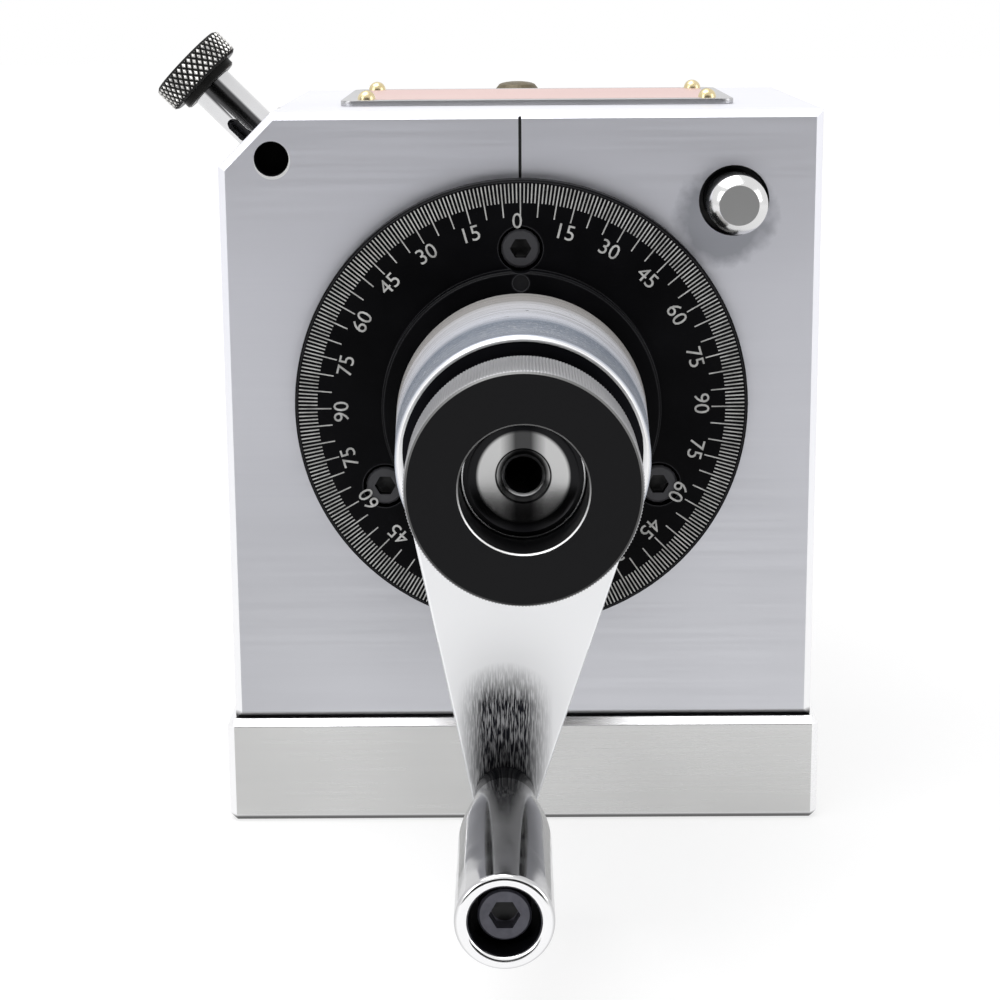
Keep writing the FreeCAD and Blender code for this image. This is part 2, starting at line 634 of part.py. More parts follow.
def make_plunger_sleeve():
    """The neck, with the cam slot in which the dog screw's point rides."""
    body = new_body("plunger_sleeve", PLUNGER_AT, DIAGONAL)
    inner = "plunger_pin_radius + running_fit"
    top = CUT + " + neck_length"
    sketch = polygon(body, "sleeve_profile", "XZ_Plane", [(inner, SLEEVE_FOOT), ("sleeve_radius", SLEEVE_FOOT),
                                                          ("sleeve_radius", top), (inner, top)])
    revolve(body, "sleeve_turning", sketch, "V_Axis")
    steps = [(i / (CAM_STEPS - 1), 0) for i in range(CAM_STEPS)]
    steps += [(1, i / SPARE_STEPS) for i in range(1, SPARE_STEPS + 1)]
    for i, (share, spare) in enumerate(steps):
        height = DOG + " + %g * plunger_travel + %g * slot_spare" % (share, spare)
        drill = bore(body, "cam_slot%d" % i, ("0", "0", height), "-y",
                     "slot_half_width", "sleeve_radius + overshoot")
        turn = FreeCAD.Rotation(FreeCAD.Vector(0, 0, 1), -share * size("slot_turn"))
        drill.Placement = FreeCAD.Placement(drill.Placement.Base, turn.multiply(drill.Placement.Rotation))
    return keep(body)


def make_plunger_knob():
    body = new_body("plunger_knob", PLUNGER_AT, DIAGONAL)
    low = CUT + " + neck_length"
    mid = low + " + knob_step"
    top = mid + " + knob_height"
    sketch = polygon(body, "knob_profile", "XZ_Plane",
                     [("0", low), ("knob_step_radius", low), ("knob_step_radius", mid),
                      ("knob_radius - knob_chamfer", mid), ("knob_radius", mid + " + knob_chamfer"),
                      ("knob_radius", top + " - knob_chamfer"), ("knob_radius - knob_chamfer", top), ("0", top)])
    revolve(body, "knob_turning", sketch, "V_Axis")
    return keep(body)


def make_plunger_bush():
    body = new_body("plunger_bush", PLUNGER_AT, DIAGONAL)
    inner = "sleeve_radius + running_fit"
    sketch = polygon(body, "guide_profile", "XZ_Plane",
                     [(inner, GUIDE_FOOT), ("plunger_bore_radius", GUIDE_FOOT),
                      ("plunger_bore_radius", CUT), (inner, CUT)])
    revolve(body, "guide_turning", sketch, "V_Axis")
    bore(body, "guide_side_hole", ("0", "0", DOG), "-y", "dog_point_radius + seat_gap",
         "plunger_bore_radius + overshoot")
    return keep(body)


def make_plunger_spring():
    """A coil of six-sided wire between the pin's foot and the guide bush."""
    wire = size("spring_wire")
    cut = size("body_width") / 2 - size("corner_cut") + size("base_height") + size("body_height")
    cut = (cut - size("centre_height")) * math.sqrt(2) / 2
    room = cut - size("wheel_radius") - size("tip_gap") - size("plunger_travel")
    room = room * (1 - size("foot_share") - size("guide_share"))
    length = room - 2 * (wire + size("spring_gap"))
    turns = max(2, round(length / size("spring_pitch")))
    sections = []
    for i in range(turns * WIRE_STEPS + 1):
        angle = 2 * math.pi * i / WIRE_STEPS
        outward = FreeCAD.Vector(math.cos(angle), math.sin(angle), 0)
        rise = length * i / (turns * WIRE_STEPS)
        section = []
        for k in range(WIRE_SIDES):
            side = 2 * math.pi * k / WIRE_SIDES
            reach = size("spring_radius") + wire * math.cos(side)
            section.append(outward * reach + FreeCAD.Vector(0, 0, rise + wire * math.sin(side)))
        sections.append(Part.makePolygon(section + [section[0]]))
    made = doc.addObject("Part::Feature", "plunger_spring")
    made.Shape = Part.makeLoft(sections, True, True)
    out = "((%s + spring_wire + spring_gap) * sqrt(2) / 2)" % FOOT_TOP
    place(made, ("-" + out, PLUNGER_AT[1], AXIS + " + " + out), DIAGONAL)
    return keep(made)


def dog_screw_place():
    """How far the dog screw is left of the spindle axis, and above it."""
    return "((%s - dog_hole_depth) * sqrt(2) / 2)" % CUT


def make_dog_screw():
    """The screw whose point rides in the cam slot."""
    diagonal = dog_screw_place()
    tip_front = FRONT + " + plunger_behind - sleeve_radius + dog_point_reach"
    head_back = FRONT + " + plunger_behind - plunger_bore_radius - dog_head_gap"
    head_front = head_back + " - dog_screw_length"
    return keep(turned("dog_screw", [(head_front, "0"), (tip_front, "0"), (tip_front, "dog_point_radius"),
                                     (head_back, "dog_point_radius"), (head_back, "dog_hole_radius - seat_gap"),
                                     (head_front, "dog_hole_radius - seat_gap")],
                       ("-" + diagonal, "0", AXIS + " + " + diagonal)))


# Spindle and what turns with it

def make_spindle():
    """Turned in one piece: nose and spigot at the back, journals, seats, thread, hollow front end."""
    end = FRONT + " - spindle_reach"
    thread_back = FRONT + " - hub_front + overshoot"
    body = turned("spindle", [
        (end + " + draw_socket_depth", "spindle_bore_radius"),
        (NOSE_BACK + " + spigot_length", "spindle_bore_radius"),
        (NOSE_BACK + " + spigot_length", "spigot_radius"), (NOSE_BACK, "spigot_radius"), (NOSE_BACK, "nose_radius"),
        (NOSE_FRONT, "nose_radius"), (NOSE_FRONT, "journal_radius"), (WHEEL_BACK, "journal_radius"),
        (WHEEL_BACK, "seat_radius"), (FRONT + " - hub_back", "seat_radius"),
        (FRONT + " - hub_back", "crank_seat_radius"), (thread_back, "crank_seat_radius"),
        (thread_back, "nut_thread_radius"), (end, "nut_thread_radius"), (end, "mouth_radius"),
        (end + " + mouth_depth", "draw_socket_radius"), (end + " + draw_socket_depth", "draw_socket_radius")])
    slot = polygon(body, "keyway_outline", "XY_Plane", key_outline("seat_gap"), "crank_seat_radius - key_width / 2")
    pocket(body, "keyway", slot, "key_width", back=True)
    for i, (across, up) in enumerate(slide_screw_places()):
        bore(body, "nose_tap%d" % i, (across, NOSE_BACK, up), "-y", "screw_radius + seat_gap",
             "nose_thickness - nose_tap_floor")
    return keep(body)


def key_outline(gap):
    middle = "(%s - (hub_back + hub_front) / 2)" % FRONT
    half = "(key_width / 2 + %s)" % gap
    near = "%s - key_length / 2 - %s" % (middle, gap)
    far = "%s + key_length / 2 + %s" % (middle, gap)
    return [("-" + half, near), (half, near), (half, far), ("-" + half, far)]


def make_crank_key():
    body = new_body("crank_key")
    sketch = polygon(body, "key_shape", "XY_Plane", key_outline("0"),
                     "crank_seat_radius - key_width / 2 + seat_gap")
    pad(body, "key_pad", sketch, "key_width - 2 * seat_gap")
    return keep(body)


def make_index_wheel():
    """Wheel with evenly spaced V notches; the first one faces the plunger."""
    inner = "seat_radius + seat_gap"
    body = turned("index_wheel", [(WHEEL_FRONT, inner), (WHEEL_BACK, inner), (WHEEL_BACK, "wheel_radius"),
                                  (WHEEL_SHOULDER, "wheel_radius"), (WHEEL_SHOULDER, "wheel_hub_radius"),
                                  (WHEEL_FRONT, "wheel_hub_radius")])
    for i, (across, up) in enumerate(dial_screw_places()):
        bore(body, "wheel_tap%d" % i, (across, WHEEL_FRONT, up), "+y", "screw_radius + seat_gap", "screw_length")
    vee = polygon(body, "notch_outline", "XZ_Plane",
                  [("-notch_half_width * notch_floor_share", "wheel_radius - notch_depth"),
                   ("notch_half_width * notch_floor_share", "wheel_radius - notch_depth"),
                   ("notch_half_width * notch_mouth_share", "wheel_radius + overshoot"),
                   ("-notch_half_width * notch_mouth_share", "wheel_radius + overshoot")])
    notch = pocket(body, "notch", vee, "body_depth + cavity_depth", both=True)
    pattern = body.newObject("PartDesign::PolarPattern", "notches")
    pattern.Originals = [notch]
    pattern.Axis = (vee, ["N_Axis"])
    pattern.Angle = 360
    bind(pattern, Occurrences="notch_count")
    body.Tip = pattern
    return keep(body)


def dial_screw_places():
    count = round(size("dial_screw_count"))
    places = []
    for i in range(count):
        turn = 360.0 * i / count
        places.append(("dial_screw_circle * sin(%g)" % turn, "dial_screw_circle * cos(%g)" % turn))
    return places


def make_thrust_washer():
    return keep(ring("thrust_washer", WHEEL_BACK + " + seat_gap", WHEEL_BACK + " + seat_gap + washer_thickness",
                     "journal_radius + seat_gap", "thrust_washer_radius"))


def make_dial():
    """Graduated disc with its boss and neck in one piece; the screws' counterbores notch the boss."""
    inner = "seat_radius + seat_gap"
    face = FRONT + " - dial_face"
    back = FRONT + " - dial_back"
    boss = FRONT + " - boss_face"
    neck = FRONT + " - hub_back"
    body = turned("dial", [(WHEEL_FRONT, inner), (WHEEL_FRONT, "dial_spigot_radius"), (back, "dial_spigot_radius"),
                           (back, "dial_radius"), (face + " + dial_chamfer", "dial_radius"),
                           (face, "dial_radius - dial_chamfer"), (face, "boss_radius"),
                           (boss + " + dial_chamfer", "boss_radius"), (boss, "boss_radius - dial_chamfer"),
                           (boss, "boss_neck_radius"), (neck, "boss_neck_radius"), (neck, inner)])
    floor = face + " + counterbore_depth"
    for i, (across, up) in enumerate(dial_screw_places()):
        at = (across, floor, up)
        bore(body, "dial_hole%d" % i, at, "+y", "screw_radius + screw_hole_gap", "dial_face + dial_spigot")
        bore(body, "dial_sink%d" % i, at, "-y", "counterbore_radius", "counterbore_depth + dial_face")
    bore(body, "set_screw_hole", ("0", boss, "set_screw_circle"), "+y", "set_screw_radius + seat_gap",
         "set_screw_depth")
    keep(body)
    screws = [cap_screw("dial_screw%d" % i, (across, floor, AXIS + " + " + up), "+y", "screw_radius",
                        "screw_length", "head_radius", "head_height")
              for i, (across, up) in enumerate(dial_screw_places())]
    keep(group("dial_screws", screws))
    plug_at = ("0", boss + " + set_screw_sunk", AXIS + " + set_screw_circle")
    return keep(rod("dial_set_screw", plug_at, "+y", "set_screw_radius", "set_screw_length"))


def make_crank():
    """Hub and tapering arm in one piece, with a keyway."""
    inner = "crank_seat_radius + seat_gap"
    back = FRONT + " - hub_back"
    front = FRONT + " - hub_front"
    body = turned("crank", [(back, inner), (back, "hub_back_radius - hub_chamfer"),
                            (back + " - hub_chamfer", "hub_back_radius"),
                            (front + " + hub_chamfer", "hub_front_radius"),
                            (front, "hub_front_radius - hub_chamfer"), (front, inner)])
    # The arm's sides touch the circles of its root and of its end
    slant = "(asin((arm_root_radius - arm_end_radius) / crank_radius) / 1 deg)"
    sketch = arm_outline(body, "arm_outline", slant)
    pad(body, "arm_pad", sketch, "arm_thickness", back=True)
    tip = circle(body, "arm_tip_outline", "XZ_Plane", (CRANK_X, CRANK_Z), "arm_end_radius",
                 "body_depth / 2 + hub_front")
    pad(body, "arm_tip", tip, "arm_thickness", back=True)
    bore(body, "crank_bore", ("0", back, "0"), "-y", inner, "hub_front - hub_back")
    bore(body, "axle_tap", (CRANK_X, front, CRANK_Z), "+y", "axle_thread_radius + seat_gap",
         "axle_thread_length + seat_gap")
    slot = polygon(body, "hub_keyway_outline", "XY_Plane", key_outline("seat_gap"),
                   "crank_seat_radius - overshoot")
    pocket(body, "hub_keyway", slot, "key_width / 2 + overshoot + seat_gap", back=True)
    return keep(body)


def arm_outline(body, name, slant):
    """The four points where the arm's straight sides leave its root and end circles."""
    down = "(270 - crank_lean)"
    one = "(%s - 90 + %s)" % (down, slant)
    two = "(%s + 90 - %s)" % (down, slant)
    corners = [("arm_root_radius * cos(%s)" % one, "arm_root_radius * sin(%s)" % one),
               (CRANK_X + " + arm_end_radius * cos(%s)" % one, CRANK_Z + " + arm_end_radius * sin(%s)" % one),
               (CRANK_X + " + arm_end_radius * cos(%s)" % two, CRANK_Z + " + arm_end_radius * sin(%s)" % two),
               ("arm_root_radius * cos(%s)" % two, "arm_root_radius * sin(%s)" % two)]
    return polygon(body, name, "XZ_Plane", corners, "body_depth / 2 + hub_front")


def make_nut():
    thread = "nut_thread_radius + seat_gap"
    keep(ring("crank_washer", FRONT + " - nut_back", FRONT + " - hub_front", thread, "crank_washer_radius"))
    back = FRONT + " - nut_back"
    front = FRONT + " - nut_back - nut_length"
    return keep(turned("knurled_nut", [(back, thread), (back, "nut_radius - nut_chamfer"),
                                       (back + " - nut_chamfer", "nut_radius"),
                                       (front + " + nut_chamfer", "nut_radius"),
                                       (front, "nut_radius - nut_chamfer"), (front, thread)]))


def make_grip():
    """Bottle-shaped sleeve that turns on its axle screw."""
    at = (CRANK_X, "0", AXIS + " + " + CRANK_Z)
    root = FRONT + " - hub_front - grip_gap"
    end = FRONT + " - grip_end"
    seat = FRONT + " - grip_end + axle_head_sunk + axle_head_height + axle_head_gap"
    body = turned("grip", [(root, "axle_radius + running_fit"), (root, "grip_neck_radius"),
                           (root + " - grip_neck_length", "grip_neck_radius"),
                           (root + " - grip_neck_length - grip_flare", "grip_radius"), (end, "grip_radius"),
                           (end, "grip_counterbore"), (seat, "grip_counterbore"),
                           (seat, "axle_radius + running_fit")], at)
    doc.recompute()
    turning = body.Tip
    knee = -size("body_depth") / 2 - size("hub_front") - size("grip_gap") - size("grip_neck_length")
    shoulder = knee - size("grip_flare")
    blends = edges_where(turning.Shape, lambda e: e.BoundBox.YLength < 0.01
                         and min(abs(e.BoundBox.YMin - knee), abs(e.BoundBox.YMin - shoulder)) < 0.01)
    blended = break_edges(body, "grip_blends", turning, blends, "grip_blend", "Fillet")
    doc.recompute()
    tip = -size("body_depth") / 2 - size("grip_end")
    rim = edges_where(blended.Shape, lambda e: abs(e.BoundBox.YMin - tip) < 0.01 and e.BoundBox.YLength < 0.01
                      and e.BoundBox.XLength > 2 * size("grip_counterbore") + 1)
    break_edges(body, "grip_rim_round", blended, rim, "grip_rim", "Fillet")
    keep(body)
    head = FRONT + " - grip_end + axle_head_sunk"
    under = head + " + axle_head_height"
    axle = turned("grip_axle", [(head, "0"), (front_of_arm() + " + axle_thread_length", "0"),
                                (front_of_arm() + " + axle_thread_length", "axle_thread_radius"),
                                (front_of_arm(), "axle_thread_radius"), (front_of_arm(), "axle_radius"),
                                (under, "axle_radius"), (under, "axle_head_radius"), (head, "axle_head_radius")], at)
    return keep(axle)


def front_of_arm():
    return FRONT + " - hub_front"


# Work side: slide base on the spindle nose, dovetail slide with V-block, clamp

def slide_screw_places():
    reach = "(slide_base_screw_circle * sqrt(2) / 2)"
    return [(a + reach, b + reach) for a in ("-", "") for b in ("-", "")]


def dovetail(grow, left="0", right="0"):
    """Outline of the dovetail seen from above, with its flanks moved out."""
    tail = "(dovetail_half_width + dovetail_depth * tan(dovetail_angle) + %s)" % grow
    mouth = "(dovetail_half_width + %s)" % grow
    floor = "(%s - dovetail_depth - %s)" % (SLIDE_FACE, grow)
    face = SLIDE_FACE
    return [("-%s - %s" % (mouth, left), face), ("-%s - %s" % (tail, left), floor),
            ("%s + %s" % (tail, right), floor), ("%s + %s" % (mouth, right), face)]


def make_slide_base():
    body = new_body("slide_base")
    half = "slide_base_width / 2"
    outline = polygon(body, "guide_outline", "XY_Plane", [("-" + half, NOSE_BACK), (half, NOSE_BACK),
                                                          (half, SLIDE_FACE), ("-" + half, SLIDE_FACE)])
    pad(body, "guide_block", outline, "slide_base_height", both=True)
    slot = polygon(body, "dovetail_slot_outline", "XY_Plane", dovetail("running_fit", "0", "gib_thickness"))
    pocket(body, "dovetail_slot", slot, "slide_base_height + 2 * overshoot", both=True)
    bore(body, "spigot_recess", ("0", NOSE_BACK, "0"), "+y", "spigot_radius + seat_gap", "spigot_length + seat_gap")
    floor = SLIDE_FACE + " - dovetail_depth - head_height - slide_screw_sunk"
    for i, (across, up) in enumerate(slide_screw_places()):
        bore(body, "guide_hole%d" % i, (across, floor, up), "-y", "screw_radius + screw_hole_gap", "slide_base_depth")
        bore(body, "guide_sink%d" % i, (across, floor, up), "+y", "head_radius + screw_hole_gap", "slide_base_depth")
    for i, side in enumerate(("-", "")):
        bore(body, "gib_tap%d" % i, (half + " + overshoot", SCREW_Y, side + "gib_screw_pitch / 2"), "-x",
             "screw_radius + seat_gap", "slide_base_width / 2 - dovetail_half_width")
    for i, side in enumerate(("-", "")):
        at = (side + "bracket_screw_x", bracket_screw_y(), "-slide_base_height / 2")
        bore(body, "bracket_tap%d" % i, at, "+z", "screw_radius + seat_gap", "screw_length")
    keep(body)
    screws = [cap_screw("slide_screw%d" % i, (across, floor, AXIS + " + " + up), "-y", "screw_radius",
                        "screw_length", "head_radius", "head_height")
              for i, (across, up) in enumerate(slide_screw_places())]
    return keep(group("slide_base_screws", screws))


def bracket_screw_y():
    return NOSE_BACK + " + (slide_base_depth - dovetail_depth) / 2"


def make_gib():
    """Strip between the dovetail's right flank and its slot, pressed by two set screws."""
    body = new_body("gib")
    tail = "(dovetail_half_width + dovetail_depth * tan(dovetail_angle))"
    face = SLIDE_FACE + " - gib_end_gap"
    floor = SLIDE_FACE + " - dovetail_depth + gib_end_gap"
    shrink = "gib_end_gap * tan(dovetail_angle)"
    near = "gib_fit"
    far = "gib_thickness - running_fit"
    outline = polygon(body, "gib_outline", "XY_Plane",
                      [("dovetail_half_width + %s + %s" % (shrink, near), face),
                       ("dovetail_half_width + %s + %s" % (shrink, far), face),
                       ("%s - %s + %s" % (tail, shrink, far), floor), ("%s - %s + %s" % (tail, shrink, near), floor)])
    pad(body, "gib_strip", outline, "slide_base_height - gib_shorter", both=True)
    keep(body)
    start = "slide_base_width / 2"
    reach = ("slide_base_width / 2 - (%s + dovetail_half_width) / 2 - gib_thickness"
             " - dovetail_depth * gib_screw_bite" % tail)
    screws = [rod("gib_screw%d" % i, (start, SCREW_Y, AXIS + " " + side + " gib_screw_pitch / 2"), "-x",
                  "screw_radius", reach) for i, side in enumerate("-+")]
    return keep(group("gib_screws", screws))


def make_bracket():
    """Plate under the slide base that carries the adjusting screw."""
    low = "(-slide_base_height / 2 - bracket_thickness)"
    body = new_body("screw_bracket")
    half = "bracket_width / 2"
    back = NOSE_BACK + " + bracket_back"
    outline = polygon(body, "bracket_outline", "XY_Plane",
                      [("-" + half, back), (half, back), (half, SLIDE_FACE), ("-" + half, SLIDE_FACE)], low)
    pad(body, "bracket_pad", outline, "bracket_thickness")
    bore(body, "bracket_hole", ("0", SCREW_Y, low), "+z", "big_screw_radius + running_fit", "bracket_thickness")
    bore(body, "bracket_recess", ("0", SCREW_Y, "-slide_base_height / 2"), "-z", "collar_radius + collar_gap",
         "collar_height + collar_gap")
    for i, side in enumerate(("-", "")):
        at = (side + "bracket_screw_x", bracket_screw_y(), low)
        bore(body, "bracket_bore%d" % i, at, "+z", "screw_radius + screw_hole_gap", "bracket_thickness")
        bore(body, "bracket_sink%d" % i, at, "+z", "head_radius + screw_hole_gap", "head_height + head_sunk")
    keep(body)
    seat = AXIS + " + " + low + " + head_height + head_sunk"
    reach = "bracket_thickness - head_height - head_sunk + screw_length - tap_runout"
    screws = [cap_screw("bracket_screw%d" % i, (side + "bracket_screw_x", bracket_screw_y(), seat), "+z",
                        "screw_radius", reach, "head_radius", "head_height")
              for i, side in enumerate(("-", ""))]
    return keep(group("bracket_screws", screws))


def make_adjust_screw():
    """Moves the slide; a collar above the bracket keeps it from rising."""
    bottom = "(centre_height - slide_base_height / 2 - bracket_thickness - collar_play)"
    seat = "(centre_height - slide_base_height / 2 - collar_height - collar_play)"
    shank = rod("adjust_shank", ("0", SCREW_Y, bottom), "+z", "big_screw_radius",
                "(bracket_thickness + (slide_base_height - slide_height) / 2 + adjust_reach)")
    head = rod("adjust_head", ("0", SCREW_Y, bottom), "-z", "big_head_radius", "big_head_height")
    collar = rod("adjust_collar", ("0", SCREW_Y, seat), "+z", "collar_radius", "collar_height")
    blank = doc.addObject("Part::MultiFuse", "adjust_blank")
    blank.Shapes = [shank, head, collar]
    socket = doc.addObject("Part::Prism", "adjust_socket")
    socket.Polygon = 6
    bind(socket, Circumradius="big_head_radius * socket_share", Height="big_head_height * socket_share")
    place(socket, ("0", SCREW_Y, bottom + " - big_head_height"))
    screw = doc.addObject("Part::Cut", "adjust_screw")
    screw.Base = blank
    screw.Tool = socket
    return keep(screw)


def make_v_block():
    """Dovetail tongue, sliding plate and V-block in one piece."""
    body = new_body("v_block")
    tongue = polygon(body, "tongue_outline", "XY_Plane",
                     [("-dovetail_half_width", SLIDE_FRONT),
                      ("-dovetail_half_width - dovetail_depth * tan(dovetail_angle)", SLIDE_FACE + " - dovetail_depth"),
                      ("dovetail_half_width + dovetail_depth * tan(dovetail_angle)", SLIDE_FACE + " - dovetail_depth"),
                      ("dovetail_half_width", SLIDE_FRONT)])
    pad(body, "tongue", tongue, "slide_height", both=True)
    half = "slide_width / 2"
    plate = polygon(body, "slide_outline", "XY_Plane", [("-" + half, SLIDE_FRONT), (half, SLIDE_FRONT),
                                                        (half, VEE_FRONT), ("-" + half, VEE_FRONT)])
    pad(body, "slide_pad", plate, "slide_height", both=True)
    side = "vee_width / 2"
    block = polygon(body, "vee_outline", "XZ_Plane",
                    [("-" + side, "-vee_bottom"), (side, "-vee_bottom"), (side, "vee_top"),
                     ("vee_apex + vee_top", "vee_top"), ("vee_relief", "vee_relief - vee_apex"),
                     ("vee_relief", "-vee_apex - vee_relief_depth"), ("-vee_relief", "-vee_apex - vee_relief_depth"),
                     ("-vee_relief", "vee_relief - vee_apex"), ("-vee_apex - vee_top", "vee_top"),
                     ("-" + side, "vee_top")], "-" + VEE_FRONT)
    pad(body, "vee_pad", block, "vee_length", back=True)
    bore(body, "adjust_tap", ("0", SCREW_Y, "-slide_height / 2"), "+z", "big_screw_radius + running_fit",
         "adjust_tap")
    for i, (side_sign, along) in enumerate((("", "-x"), ("-", "+x"))):
        for k, level in enumerate(yoke_screw_levels()):
            bore(body, "yoke_tap%d%d" % (i, k), (side_sign + "vee_width / 2", YOKE_Y + level, yoke_screw_height()),
                 along, "screw_radius + seat_gap", "screw_length - yoke_leg + head_height")
    return keep(body)


def yoke_screw_levels():
    return [" - yoke_screw_pitch / 2", " + yoke_screw_pitch / 2"]


def yoke_screw_height():
    return "(yoke_screw_lift - yoke_foot)"


def make_clamp_yoke():
    """Bridge over the V-block with a leg on each side of it."""
    body = new_body("clamp_yoke", ("0", YOKE_Y, AXIS))
    inner = "(vee_width / 2 + seat_gap)"
    outer = "(vee_width / 2 + yoke_leg)"
    top = "(slide_height / 2)"
    outline = polygon(body, "yoke_outline", "XZ_Plane",
                      [("-" + outer, "-yoke_foot"), ("-" + inner, "-yoke_foot"), ("-" + inner, YOKE_UNDER),
                       (inner, YOKE_UNDER), (inner, "-yoke_foot"), (outer, "-yoke_foot"),
                       (outer, top + " - yoke_corner"), (outer + " - yoke_corner", top),
                       ("-" + outer + " + yoke_corner", top), ("-" + outer, top + " - yoke_corner")])
    pad(body, "yoke_pad", outline, "yoke_depth", both=True)
    bore(body, "clamp_hole", ("0", "0", YOKE_UNDER), "+z", "big_screw_radius + running_fit", "yoke_bridge")
    for i, (sign, along) in enumerate((("", "-x"), ("-", "+x"))):
        for k, level in enumerate(yoke_screw_levels()):
            at = (sign + outer, "0" + level, yoke_screw_height())
            bore(body, "yoke_bore%d%d" % (i, k), at, along, "screw_radius + screw_hole_gap", "yoke_leg")
            bore(body, "yoke_sink%d%d" % (i, k), at, along, "head_radius + screw_hole_gap", "head_height + head_sunk")
    keep(body)
    screws = []
    for i, (sign, along) in enumerate((("", "-x"), ("-", "+x"))):
        for k, level in enumerate(yoke_screw_levels()):
            seat = (sign + "(vee_width / 2 + yoke_leg - head_height - head_sunk)", YOKE_Y + level,
                    AXIS + " + " + yoke_screw_height())
            screws.append(cap_screw("yoke_screw%d%d" % (i, k), seat, along, "screw_radius",
                                    "screw_length - tap_runout", "head_radius", "head_height"))
    return keep(group("yoke_screws", screws))


def make_clamp():
    """Clamp screw through the bridge, its tip caught in a loose pad."""
    tip = AXIS + " + pad_bottom + pad_height - clamp_tip"
    neck = AXIS + " + " + CLAMP_TOP + " - big_head_height"
    shank = rod("clamp_shank", ("0", YOKE_Y, tip), "+z", "big_screw_radius",
                CLAMP_TOP + " - big_head_height - pad_bottom - pad_height + clamp_tip")
    head = rod("clamp_head", ("0", YOKE_Y, neck), "+z", "big_head_radius", "big_head_height")
    screw = doc.addObject("Part::Fuse", "clamp_screw")
    screw.Base = shank
    screw.Tool = head
    keep(screw)
    pad_blank = rod("pad_blank", ("0", YOKE_Y, AXIS + " + pad_bottom"), "+z", "pad_radius", "pad_height")
    pad_hole = rod("pad_hole", ("0", YOKE_Y, AXIS + " + pad_bottom + pad_height - clamp_tip - pad_play"), "+z",
                   "big_screw_radius + pad_play", "clamp_tip + overshoot")
    clamp_pad = doc.addObject("Part::Cut", "clamp_pad")
    clamp_pad.Base = pad_blank
    clamp_pad.Tool = pad_hole
    return keep(clamp_pad)


def main():
    make_base_plate()
    make_housing_block()
    make_base_screws()
    make_bushes()
    make_stop_pin()
    make_nameplate()
    make_plunger_pin()
    make_plunger_sleeve()
    make_plunger_knob()
    make_plunger_bush()
    make_plunger_spring()
    make_dog_screw()
    make_spindle()
    make_crank_key()
    make_index_wheel()
    make_thrust_washer()
    make_dial()
    make_crank()
    make_nut()
    make_grip()
    make_slide_base()
    make_gib()
    make_bracket()
    make_adjust_screw()
    make_v_block()
    make_clamp_yoke()
    make_clamp()
    doc.recompute()
    faults = ["%s: %s" % (o.Name, o.State) for o in doc.Objects if "Invalid" in o.State or "Error" in o.State]
    for thing in SUB_PARTS:
        if thing.Shape.isNull() or not thing.Shape.isValid() or not thing.Shape.Solids:
            faults.append("%s: bad shape" % thing.Label)
    if faults:
        print("\n".join(faults))
        sys.exit(1)
    os.makedirs("parts", exist_ok=True)
    for thing in SUB_PARTS:
        thing.Shape.exportStep("parts/%s.step" % thing.Label)
        print("%-20s solids %d  volume %.1f" % (thing.Label, len(thing.Shape.Solids), thing.Shape.Volume))


main()
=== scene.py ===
import math
from functools import partial

import bmesh
import bpy
from mathutils import Matrix, Vector


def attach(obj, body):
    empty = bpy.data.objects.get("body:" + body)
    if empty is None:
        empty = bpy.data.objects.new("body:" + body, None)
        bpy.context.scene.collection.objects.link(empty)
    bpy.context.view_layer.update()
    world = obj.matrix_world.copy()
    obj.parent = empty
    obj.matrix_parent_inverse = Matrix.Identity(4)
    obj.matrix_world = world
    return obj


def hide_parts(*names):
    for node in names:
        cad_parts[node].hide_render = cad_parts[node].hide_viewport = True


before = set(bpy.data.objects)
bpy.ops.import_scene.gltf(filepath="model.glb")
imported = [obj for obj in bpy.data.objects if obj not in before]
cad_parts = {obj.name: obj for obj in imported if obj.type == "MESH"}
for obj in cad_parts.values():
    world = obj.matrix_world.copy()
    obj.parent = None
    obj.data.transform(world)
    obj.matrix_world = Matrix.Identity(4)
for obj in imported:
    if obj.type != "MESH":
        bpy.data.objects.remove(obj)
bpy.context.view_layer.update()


def placed(name, data):
    """A new object in the scene."""
    made = bpy.data.objects.new(name, data)
    bpy.context.collection.objects.link(made)
    return made


# Camera, floor and lights
# The punch former stands on a white table in a white room. The camera looks from the crank side,
# a little from above, and three wide soft lamps light the table.

camera_lens = bpy.data.cameras.new("bench_camera")
camera_lens.sensor_width = 36.0
camera_lens.lens = 83.59
camera_lens.clip_start = 0.01
camera = placed("bench_camera", camera_lens)
camera.location = (-0.001783, -0.459403, 0.155458)
camera.rotation_euler = [math.radians(turn) for turn in (77.3284, 0.3988, 0.2143)]
bpy.context.scene.camera = camera
bpy.context.scene.view_settings.view_transform = "Standard"


def node(tree, kind, inputs=(), **settings):
    """Adds a node, sets it, and gives each input a value or a link."""
    made = tree.nodes.new(kind)
    for name, value in settings.items():
        setattr(made, name, value)
    for name, value in dict(inputs).items():
        if isinstance(value, bpy.types.NodeSocket):
            tree.links.new(value, made.inputs[name])
        else:
            made.inputs[name].default_value = value
    return made


def math_node(operation, first, second=0.0, clamp=False):
    """One sum in the tree that its first link belongs to."""
    tree = (first if isinstance(first, bpy.types.NodeSocket) else second).id_data
    made = node(tree, "ShaderNodeMath", {0: first, 1: second}, operation=operation, use_clamp=clamp)
    return made.outputs[0]


times, plus, minus = (partial(math_node, name) for name in ("MULTIPLY", "ADD", "SUBTRACT"))
above, below = (partial(math_node, name) for name in ("GREATER_THAN", "LESS_THAN"))
larger, size_of = (partial(math_node, name) for name in ("MAXIMUM", "ABSOLUTE"))


def own_axes(tree, which="Object"):
    """A piece's own x, y and z, or the parts of its own normal."""
    return node(tree, "ShaderNodeSeparateXYZ", {0: node(tree, "ShaderNodeTexCoord").outputs[which]}).outputs


